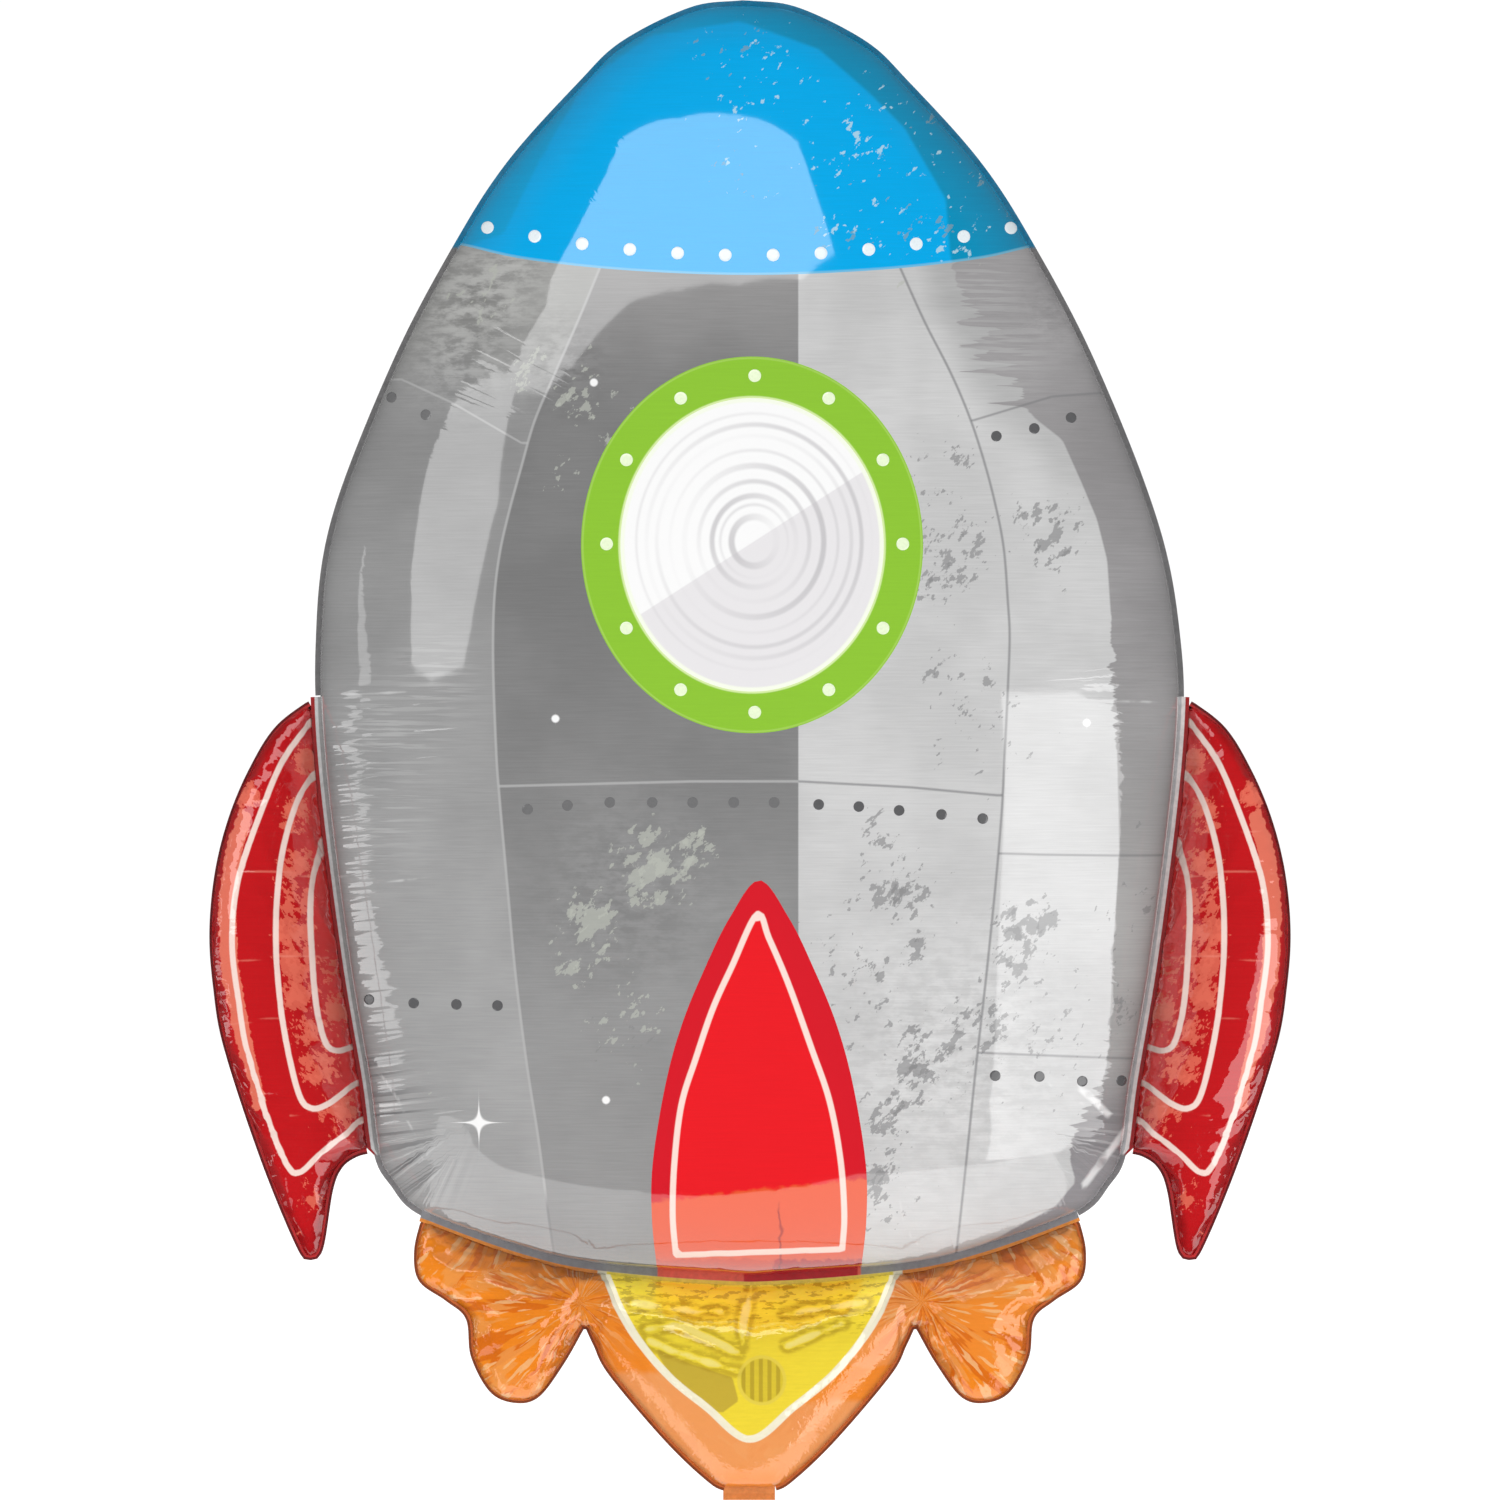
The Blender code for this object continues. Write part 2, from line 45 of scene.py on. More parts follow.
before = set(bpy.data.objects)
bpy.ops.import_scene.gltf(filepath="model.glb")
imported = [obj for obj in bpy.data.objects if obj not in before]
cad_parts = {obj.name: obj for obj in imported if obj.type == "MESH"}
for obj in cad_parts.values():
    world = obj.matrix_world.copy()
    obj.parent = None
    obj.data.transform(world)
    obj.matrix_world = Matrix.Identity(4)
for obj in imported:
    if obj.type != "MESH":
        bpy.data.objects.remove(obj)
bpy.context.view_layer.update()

MM = 0.001
SEAM = 2.5               # from a chamber's rim to the edge or middle line of its weld
GAP = 0.3                # clearance between the front and back sheets at their rims
PLUMPNESS = 0.80         # depth of a chamber against a round cross-section
BAND_ANGLE = 40.0        # degrees of a round section that the rows along the rim cover
ROW_STEP = 0.6           # closest points across those rows, in facets
GRID_STEP, GRID_CLEARANCE = 1.25, 0.62   # of the points inside them, in facets
INSET_KEPT, ROW_KEPT = 0.985, 0.97   # least share of its offset that a moved point keeps
SETTLED = 1e-16          # share of its first error at which a membrane is settled
NOSE_LEAN = -3.0         # how far the upper balloon leans to the left
LEAN_FROM, LEAN_TO = 380.0, 500.0
SHARP_TURN = 42.0        # degrees over which a rim keeps a corner
FIN_TOP, FIN_BOTTOM = 396.0, 170.0   # where the side fins leave the hull
CENTRE_FIN_X, CENTRE_FIN_FOOT = 4.5, 80.0
PORTHOLE = (1.0, 469.2)
PORTHOLE_OUTER, PORTHOLE_INNER = (83.5, 92.0), (64.3, 71.7)
VALVE_WIDTH, VALVE_TOP = 24.0, 9.0
FILM_IOR, FILM_SPECULAR = 1.8, 0.75  # a film with metal in it reflects more than plain plastic
CORE_PAINTED_GLOW = 0.28         # painted light: a glow at the top of the core, against the shade under the hull
WELD_REACH = 2.4         # widest weld between two chambers, in widths of an edge
BAND_BLUR = 0.04         # of the borders between a weld's bands, as a share of its width
EDGE_ROWS, VALVE_ROWS = 4, 7
EDGE_SHARPNESS = 50.0    # degrees over which an edge of a small piece is sharp
FLOOR_SIZE = 60.0
EVEN_LIGHT, FRONT_LIGHT, BACK_LIGHT = 0.81, 0.385, 0.22
ROOM_LIGHT = (0.03, 0.07)            # in reflections, from the front to the rims
BACKDROP_LIGHT = 1.05

HULL_TOP = (
    (0, 738), (26, 734.6), (60, 717.8), (81, 698), (116, 659), (141.7, 619.4), (172.7, 560.4),
    (203.4, 481.7), (212.8, 422.6), (212, 365.6), (200.7, 271), (190, 206), (185, 170), (177, 155),
    (161.5, 139.7),
)
HULL_BOTTOM = ((114, 122.5), (74, 113.7), (0, 108.2))
SIDE_FIN = (
    (233.2, 380.8), (246, 360.6), (256.3, 336.5), (263.2, 309.5), (266, 280), (264.2, 252.4),
    (258.8, 222), (240.6, 166.8), (222.4, 123), (216, 118), (210, 123.5), (205.2, 152), (200.7, 163.3),
    (193.4, 168.8),
)
FLAME_LOBE = (
    (165.3, 122.5), (162.9, 107.7), (149.6, 97.9), (139.8, 89), (137.3, 70.4), (127.9, 53.1),
    (115.6, 47.7), (103.8, 50.7), (91.5, 67), (81.2, 85.1),
)
FLAME_TIP = ((77, 76), (69.4, 61.5), (42.3, 29.5), (22, 10), (12.5, 4.5), (0, 4))
NOSE_BORDER = ((142, 617.2), (110, 609.4), (60, 603.6), (0, 601.2))
CENTRE_FIN = (
    (0, 305.5), (14.5, 287), (26.3, 263), (37.4, 236), (45.5, 207), (52, 168), (52.6, 140), (50, 112),
)
FLAME_CORE = ((71.8, 112), (64, 95.4), (54.1, 78.7), (39.4, 61.5), (21.2, 46.7), (0, 31))
LOBE_BORDER = ((81.2, 87), (79.5, 100), (77, 114))

# lines and outlines of print, and of painted light and shade, from here on as (x, height)
LEFT_PANEL_LINE = (
    (-73.3, 605.2), (-83.6, 580.1), (-95.9, 552), (-105.3, 529.9), (-111.7, 507.7), (-118.1, 484.1),
    (-122.5, 464), (-125, 441.8), (-125.5, 410.8), (-124, 368.5), (-122.5, 346.9), (-118.6, 303.1),
    (-114.6, 259.3), (-109.2, 215.5), (-103.8, 180.1), (-99.4, 145.1),
)
RIGHT_PANEL_LINE = (
    (73.8, 604.2), (85.6, 578.1), (97.9, 554), (106.8, 533.3), (113.7, 512.7), (119.6, 490.5),
    (124, 467.9), (126, 441.8), (126.9, 424.6), (126, 399), (124.5, 368.5), (123, 338.5), (120, 303.1),
    (115.6, 259.3), (110.7, 215.5), (106.3, 171.2),
)
CROSS_LINE = ((-122.5, 351.3), (-27.6, 353.7), (23.6, 353.7), (78.2, 350.8), (120, 346.9))
RIGHT_SIDE_LINES = (
    ((108.2, 529.9), (148.1, 542.2), (173.7, 544.6)), ((120, 318.5), (143.2, 317.8), (177.1, 317.3)),
    ((113.2, 220.9), (186.5, 217.5)),
)
LEFT_SIDE_LINES = (((-171.2, 551), (-146.1, 539.2), (-111.7, 519.1)),)
CENTRE_FIN_LINE = (
    (45.3, 124), (46.2, 141.7), (44.3, 168.3), (38.9, 197.3), (30, 223.4), (18.7, 254.9), (9.3, 277),
    (3.4, 288.8), (-8.9, 263.2), (-18.2, 242.6), (-26.6, 218), (-33.5, 195.8), (-36.9, 168.3),
    (-37.9, 141.7), (-36.4, 121),
)
FIN_STRIPES = (
    ((214.5, 384.3), (228.3, 363.6), (239.6, 336), (249.9, 305), (252.9, 275), (249.9, 245.5),
     (246, 220.9), (238.1, 191.4), (228.3, 166.8), (221.4, 161.9), (210.6, 171.7), (188.4, 188.4)),
    ((212.5, 358.7), (221.4, 342.9), (228.3, 318.3), (231.2, 289.8), (230.7, 259.3), (227.3, 228.8),
     (221.4, 200.7), (215.5, 193.4), (206.6, 195.8), (191.9, 205.7)),
    ((209.1, 325.2), (214.5, 297.7), (214, 271.1), (211.6, 243), (207.1, 224.8), (201.2, 221.4),
     (194.3, 223.4)),
)
CREAM_LINE = ((-71.8, 111.7), (-64, 95.4), (-54.1, 78.7), (-39.4, 61.5), (-21.2, 46.7), (0, 31))
# lit part of the nose and of the hull's right side, from the left foot of the nose round; outside it a
# painted shade darkens the nose and a band down the hull's right side
LIT_EDGE = (
    (-180, 100), (-180, 606), (-121, 622), (-103, 659), (-81, 698), (-49, 720), (-5, 727), (34, 713),
    (59, 691), (76, 674), (96, 639), (98, 612), (102, 595), (111, 575), (123, 551), (140, 531),
    (153, 521), (162, 501), (170, 482), (175, 462), (177, 432), (178, 398), (180, 364), (181, 319),
    (178, 270), (176, 221), (172, 198), (164, 190), (158, 178), (157, 168), (160, 157), (150, 145),
    (123, 130), (105, 121), (105, 100),
)
# folds of the core, its flat darker patch, and the oval where the valve shows through
CORE_FOLDS = (
    ((-50.7, 84.6), (-35.4, 86.1), (-20.2, 80.7), (-6.4, 73.8)),
    ((-49.2, 79.2), (-29.5, 71.3), (-6.4, 64.5)), ((18.2, 76.3), (32, 82.2), (44.3, 87.1)),
    ((0.5, 106), (-3, 90), (-3.5, 78)), ((-56, 97), (-38, 95.5), (-14, 94)),
    ((16, 93), (34, 95), (56, 98)),
)
OLIVE_PATCH = ((-46.5, 75.5), (-29, 68), (-8.5, 61.5), (-5.5, 50), (-13.8, 44), (-29, 52), (-39.9, 64))
VALVE_OVAL = ((5.7, 60), (11.1, 11.3))
FLAME_GATHERS = ((83.5, 97), (-83.5, 97), (112, 158), (-112, 158))
# painted highlights along the hull's creases
HULL_CREASE_HIGHLIGHTS = (
    ((171, 391), (190, 393), (210, 390)), ((-203, 307), (-175, 305), (-145, 307)),
    ((-206, 398), (-190, 396), (-168, 398)), ((144, 207), (160, 197), (178, 190)),
    ((150, 213), (164, 203), (181, 200)), ((-186, 215), (-172, 196), (-160, 168)),
    ((72, 152), (78, 132), (88, 121)),
)
# wider painted highlights along two creases
PALE_CREASE_HIGHLIGHTS = (((189, 188), (177, 172), (164, 155)), ((162, 203), (169, 197), (176, 190)))
# painted highlight: outline of a salmon band on the side fin
FIN_HIGHLIGHT_BAND = (
    (243, 336), (247.5, 322), (251, 290), (250, 264), (245, 234), (238, 195), (243, 191), (251, 224),
    (258, 254), (260, 290), (256, 322), (249, 340),
)
# painted highlights along the side fin's creases
FIN_CREASE_HIGHLIGHTS = (
    ((212, 306), (234, 309), (262, 307)), ((222, 236), (236, 237), (254, 234)),
    ((206, 267), (222, 268), (250, 265)), ((214, 330), (232, 327), (250, 329)),
    ((196, 196), (212, 192), (226, 190)),
)
# painted glints shaped as small stars: x, height and reach of each
GLINT_STARS = (
    (-132.8, 186.5, 23), (-70.4, 197.8, 5), (-95, 384.3, 5), (-76.3, 548.6, 3.5), (164.8, 382.3, 6),
)
# middle, half width, start and end as shares of the weld's width, and colour
UNDER_PATCHES = (
    (0.0, 75.0, 0.66, 2.0, (255, 250, 222)), (0.0, 70.5, 0.66, 2.0, (255, 236, 84)),
    (4.5, 50.0, -1.0, 0.66, (246, 104, 84)), (25.0, 28.0, -1.0, 0.66, (206, 18, 36)),
)
# radius and width in millimetres, share, and the angle where the ring is darkest
PANE_RINGS = (
    (11, 3, 0.75, 190), (16.5, 1.2, 0.45, 120), (20.5, 2.4, 0.75, 150), (27, 2, 0.6, 60),
    (34, 2.6, 0.8, 0), (41, 1.4, 0.4, 30), (47.5, 1.8, 0.5, -60), (52.5, 2, 0.7, 20),
    (57.5, 1.2, 0.3, 150),
)
# round spots as (x, height, radius, share)
HULL_PUCKERS = (
    (-211, 349, 75, 1), (-170, 575, 60, 1), (165, 590, 48, 1), (205, 400, 60, 0.7),
    (-176, 180, 50, 0.9), (0, 110, 110, 0.5), (-110, 665, 60, 0.7), (130, 640, 40, 0.6),
    (180, 190, 50, 0.8),
)
MOTTLE = (
    (-135, 588, 26, 1), (-142, 562, 22, 0.8), (-118, 604, 18, 0.7), (-95, 560, 20, 0.6),
    (150, 585, 18, 0.3), (-60, 300, 40, 0.35), (100, 220, 60, 0.3),
)
# painted highlights: where the hull has fine light combed streaks
COMBED_HIGHLIGHTS = (
    (-178, 375, 24, 1), (-179, 338, 20, 1), (-155, 402, 18, 1), (-184, 312, 14, 0.8),
    (112, 592, 20, 0.8), (124, 562, 20, 0.8), (150, 430, 40, 0.4),
)
# painted highlights and shade: where the hull's pinched creases show streaks
PINCHED_LIGHT_AND_SHADE = ((-182, 214, 12, 0.5), (-176, 190, 16, 0.7), (-166, 166, 16, 0.7), (174, 176, 14, 0.35))
DARK_WEAR = (
    (98, 462, 34, 0.85), (103, 400, 26, 0.75), (70, 298, 30, 0.85), (60, 322, 22, 0.7),
    (78, 268, 20, 0.75), (136, 282, 20, 1.15), (124, 262, 20, 0.9), (113, 235, 28, 0.8),
    (82, 214, 30, 0.85), (64, 190, 24, 0.8), (59, 157, 34, 0.75), (150, 200, 26, 0.4),
    (-93, 545, 20, 0.6), (-140, 570, 22, 0.5), (-60, 235, 40, 0.4), (148, 476, 28, 0.8),
    (90, 500, 40, 0.6), (110, 380, 40, 0.6), (60, 250, 60, 0.6), (140, 240, 60, 0.55),
    (186, 300, 40, 0.55), (182, 240, 30, 0.6),
)
FLECK_SPOTS = (
    (-48, 312, 26, 1), (-30, 318, 20, 0.95), (-79, 285, 24, 0.85), (-59, 240, 34, 0.7),
    (-88, 255, 22, 0.7), (-108, 555, 22, 0.7), (-133, 590, 26, 0.7), (-85, 545, 26, 0.75),
    (-70, 525, 24, 0.65), (-88, 505, 20, 0.6), (-160, 206, 24, 0.4), (60, 660, 55, 0.62),
    (95, 630, 40, 0.66), (0, 700, 50, 0.55), (85, 665, 45, 0.55), (-10, 655, 40, 0.5),
    (45, 626, 22, 0.7),
)
# painted highlights: where the side fin has salmon flecks
FIN_HIGHLIGHT_SPOTS = (
    (222, 312, 11, 1.35), (222, 296, 11, 1.4), (223, 280, 11, 1.4), (221, 264, 11, 1.4),
    (220, 248, 11, 1.45), (217, 232, 11, 1.45), (211, 214, 12, 1.45), (221, 336, 11, 1.35),
    (200, 190, 13, 1.3), (203, 240, 11, 1.25), (205, 262, 8, 1.1), (246, 346, 9, 1.35),
    (214, 364, 13, 1.25), (216, 150, 10, 0.9), (226, 132, 8, 0.9),
)
NOSE_DOTS = (
    (-128.9, 625.5), (-105.5, 620.7), (-82.2, 616.8), (-58.8, 613.9), (-35.4, 612), (-12.1, 611),
    (11.3, 611), (34.7, 612), (58.1, 613.9), (81.4, 616.8), (104.8, 620.7), (128.2, 625.5),
)
FAINT_DOTS = (
    (-108.7, 340), (-89.1, 341.9), (-68.4, 343.4), (-47.7, 343.4), (-28, 343.4), (-7.9, 343.4),
    (11.8, 343.4), (-176.1, 542.2), (-158.9, 533.3),
)
HULL_DOTS = (
    (33.5, 342.4), (53.1, 341.4), (72.8, 339.5), (93.5, 337.5), (113.7, 335.5), (-187, 246.5),
    (-164.8, 245), (-143.7, 244.5), (-123.5, 244), (120.5, 522.5), (139.2, 526.4), (157.4, 531.9),
    (120, 209.6), (141.7, 209.1), (162.9, 206.6), (182.5, 206.6),
)
RING_DOTS = 12
RING_DOT_CENTRE, RING_DOT_RADII = (2.3, 469.6), (72.3, 82.2)
SOFTBOX_DISTANCE = 4.0
# brightness, and where the box's outline shows on the hull's front
SOFTBOXES = {
    "softbox above": (0.8, (
        (-118, 558), (-108, 575), (-99, 590), (-97, 602), (-83, 629), (-69, 654), (-63, 670),
        (-54, 676), (-34, 681), (-10, 682), (10, 678), (23, 669), (32, 644), (41, 615), (25, 602),
        (-5, 600), (-34, 597), (-58, 591), (-74, 575), (-86, 560), (-101, 546), (-123, 546))),
    "softbox left": (0.8, (
        (-133, 555), (-148, 536), (-157, 512), (-163, 481), (-166, 442), (-166, 412), (-157, 403),
        (-141, 410), (-137, 430), (-131, 461), (-123, 492), (-119, 527), (-113, 554))),
    "left sliver": (0.5, ((-189, 471), (-192, 405), (-186, 405))),
    "left sliver, lower": (0.5, (
        (-195, 396), (-190, 396), (-193, 354), (-186, 334), (-189, 331), (-198, 350))),
    "low sliver": (0.6, (
        (-192, 308), (-187, 300), (-180, 262), (-169, 222), (-177, 218), (-191, 262), (-195, 292))),
    "softbox low": (0.4, (
        (-152, 191), (-142, 187), (-133, 172), (-122, 164), (-89, 156), (-59, 153), (-25, 150),
        (5, 152), (54, 161), (103, 164), (148, 172), (156, 152), (103, 128), (54, 118), (5, 114),
        (-74, 120), (-123, 131), (-156, 152))),
    "softbox right": (0.73, (
        (123, 398), (178, 398), (181, 319), (178, 270), (176, 221), (172, 191), (153, 172), (116, 167),
        (118, 196), (122, 270), (125, 344))),
}
CLOTH = {
    "quality": 5, "mass": 0.1, "tension_stiffness": 80, "compression_stiffness": 80,
    "shear_stiffness": 40, "bending_stiffness": 0.02, "tension_damping": 5,
    "compression_damping": 5, "shear_damping": 5, "air_damping": 2, "vertex_group_mass": "rim",
    "use_pressure": True, "uniform_pressure_force": 2.0,
}
CLOTH_SCALE = 10 * MM    # the film is crumpled ten times as large, where cloth is steadier
CLOTH_FRAMES = 16


def smooth_line(points, steps=24):
    """Return a smooth curve through the points of an open line."""
    p = np.array(points, dtype=float)
    p = np.vstack([2 * p[0] - p[1], p, 2 * p[-1] - p[-2]])
    t = np.linspace(0, 1, steps, endpoint=False)[:, None]
    out = [0.5 * (2 * b + (c - a) * t + (2 * a - 5 * b + 4 * c - d) * t ** 2
                  + (3 * b - a - 3 * c + d) * t ** 3)
           for a, b, c, d in zip(p[:-3], p[1:-2], p[2:-1], p[3:])]
    return np.vstack(out + [p[-2:-1]])


def mirrored(points):
    return np.array(points, dtype=float) * (-1, 1)


def whole_line(half):
    """Join a half line that ends at x = 0 to its mirror image, from right to left."""
    return smooth_line(np.vstack([half, mirrored(half[:-1])[::-1]]))


def leaned(points):
    """Shift the upper part of the balloon a little to the left."""
    share = np.clip((points[:, 1] - LEAN_FROM) / (LEAN_TO - LEAN_FROM), 0, 1)
    shift = NOSE_LEAN * share ** 2 * (3 - 2 * share)
    return points + np.stack([shift, np.zeros(len(points))], axis=1)


def evenly(points, step):
    """Resample an open line in equal steps of about the given length."""
    along = np.concatenate([[0], np.cumsum(np.linalg.norm(np.diff(points, axis=0), axis=1))])
    wanted = np.linspace(0, along[-1], max(1, round(along[-1] / step)) + 1)
    return np.stack([np.interp(wanted, along, points[:, i]) for i in (0, 1)], axis=1)


def outward(points, closed=True):
    """Unit normals on the right-hand side of a line, outside a counterclockwise loop."""
    if closed:
        along = np.roll(points, -1, axis=0) - np.roll(points, 1, axis=0)
    else:
        along = np.gradient(points, axis=0)
    along /= np.linalg.norm(along, axis=1)[:, None]
    return np.stack([along[:, 1], -along[:, 0]], axis=1)


def nearest_dots(points, dots):
    """Number of the nearest dot to each point, and the distance to it."""
    tree = KDTree(len(dots))
    for i, (x, z) in enumerate(dots):
        tree.insert((x, z, 0), i)
    tree.balance()
    found = [tree.find((x, z, 0)) for x, z in points]
    return np.array([dot[1] for dot in found]), np.array([dot[2] for dot in found])


def nearest_on(points, line, closed=True):
    """Nearest point of a line to each point, the distance, and +1 or -1 for its side."""
    index = nearest_dots(points, line)[0]
    best = np.full(len(points), np.inf)
    foot = np.zeros((len(points), 2))
    side = np.ones(len(points))
    for first in (index - 1, index):
        if closed:
            start, end = line[first % len(line)], line[(first + 1) % len(line)]
        else:
            first = np.clip(first, 0, len(line) - 2)
            start, end = line[first], line[first + 1]
        run = end - start
        share = ((points - start) * run).sum(axis=1) / np.maximum((run ** 2).sum(axis=1), 1e-12)
        low = np.where(closed | (first > 0), 0, -np.inf)
        high = np.where(closed | (first < len(line) - 2), 1, np.inf)
        spot = start + run * np.clip(share, low, high)[:, None]
        away = points - spot
        gap = np.linalg.norm(away, axis=1)
        nearer = gap < best
        best = np.where(nearer, gap, best)
        foot[nearer] = spot[nearer]
        turn = run[:, 0] * away[:, 1] - run[:, 1] * away[:, 0]
        side = np.where(nearer, np.where(turn > 0, 1.0, -1.0), side)
    return foot, best, side


def inside(points, loop):
    """Tell which points lie inside a closed loop."""
    x, z = points[:, 0], points[:, 1]
    result = np.zeros(len(points), dtype=bool)
    for (ax, az), (bx, bz) in zip(loop, np.roll(loop, -1, axis=0)):
        if az != bz:
            result ^= ((az > z) != (bz > z)) & (x < (bx - ax) * (z - az) / (bz - az) + ax)
    return result


def dense_loop(points):
    """A counterclockwise loop with a point about every millimetre, and no doubled end."""
    points = np.array(points, dtype=float)
    loop = evenly(np.vstack([points, points[:1]]), 1.0)[:-1]
    x, z = loop.T
    return loop if np.sum(x * np.roll(z, -1) - np.roll(x, -1) * z) > 0 else loop[::-1]


def hull_loop():
    half = smooth_line(HULL_TOP + HULL_BOTTOM)
    return dense_loop(np.vstack([half, mirrored(half)[::-1][1:-1]]))


def hull_side(low, high):
    """The right side of the hull's film line between two heights, from low to high."""
    loop = hull_loop()
    side = loop[(loop[:, 0] > 150) & (loop[:, 1] >= low) & (loop[:, 1] <= high)]
    return side[np.argsort(side[:, 1])]


def fin_loop():
    side = hull_side(FIN_BOTTOM, FIN_TOP)
    outer = smooth_line(np.vstack([side[-1:], SIDE_FIN, side[:1]]))
    return dense_loop(np.vstack([side, outer[1:-1]]))


def flame_loop():
    bottom = whole_line(HULL_TOP[-1:] + HULL_BOTTOM)
    lobe = smooth_line(HULL_TOP[-1:] + FLAME_LOBE)
    half = np.vstack([lobe, smooth_line(FLAME_LOBE[-1:] + FLAME_TIP)[1:]])
    return dense_loop(np.vstack([bottom[::-1][1:-1], half, mirrored(half)[::-1][1:]]))


def inset(loop, distance):
    """Move a closed loop inwards, and drop what folds over itself in a narrow tip."""
    moved = loop - outward(loop) * distance
    return moved[nearest_on(moved, loop)[1] > INSET_KEPT * distance]


def rim_points(loop, step):
    """Resample a closed loop in equal steps, with a point at each sharp corner."""
    window = 3
    before = loop - np.roll(loop, window, axis=0)
    after = np.roll(loop, -window, axis=0) - loop
    turn = np.abs(np.arctan2(before[:, 0] * after[:, 1] - before[:, 1] * after[:, 0],
                             (before * after).sum(axis=1)))
    kept = set()
    for i in np.argsort(-turn):
        if turn[i] < math.radians(SHARP_TURN):
            break
        near = [min(abs(i - k), len(loop) - abs(i - k)) for k in kept]
        if not near or min(near) > 2 * window:
            kept.add(int(i))
    kept = sorted(kept) or [0]
    ends = kept[1:] + [kept[0] + len(loop)]
    return np.vstack([evenly(loop[np.arange(start, end + 1) % len(loop)], step)[:-1]
                      for start, end in zip(kept, ends)])


def waves(points, seed):
    """Noise from about -1 to 1 at each point of the seam plane."""
    return np.array([noise.noise(Vector((x, z, seed))) for x, z in points])


def spots(points, table):
    """Share at each point that a table of round spots gives."""
    share = np.zeros(len(points))
    for x, z, radius, most in table:
        gap = np.hypot(points[:, 0] - x, points[:, 1] - z)
        share = np.maximum(share, most * np.exp(-(gap / radius) ** 2))
    return share


def doubled_area(a, b, c):
    return (b[:, 0] - a[:, 0]) * (c[:, 1] - a[:, 1]) - (c[:, 0] - a[:, 0]) * (b[:, 1] - a[:, 1])


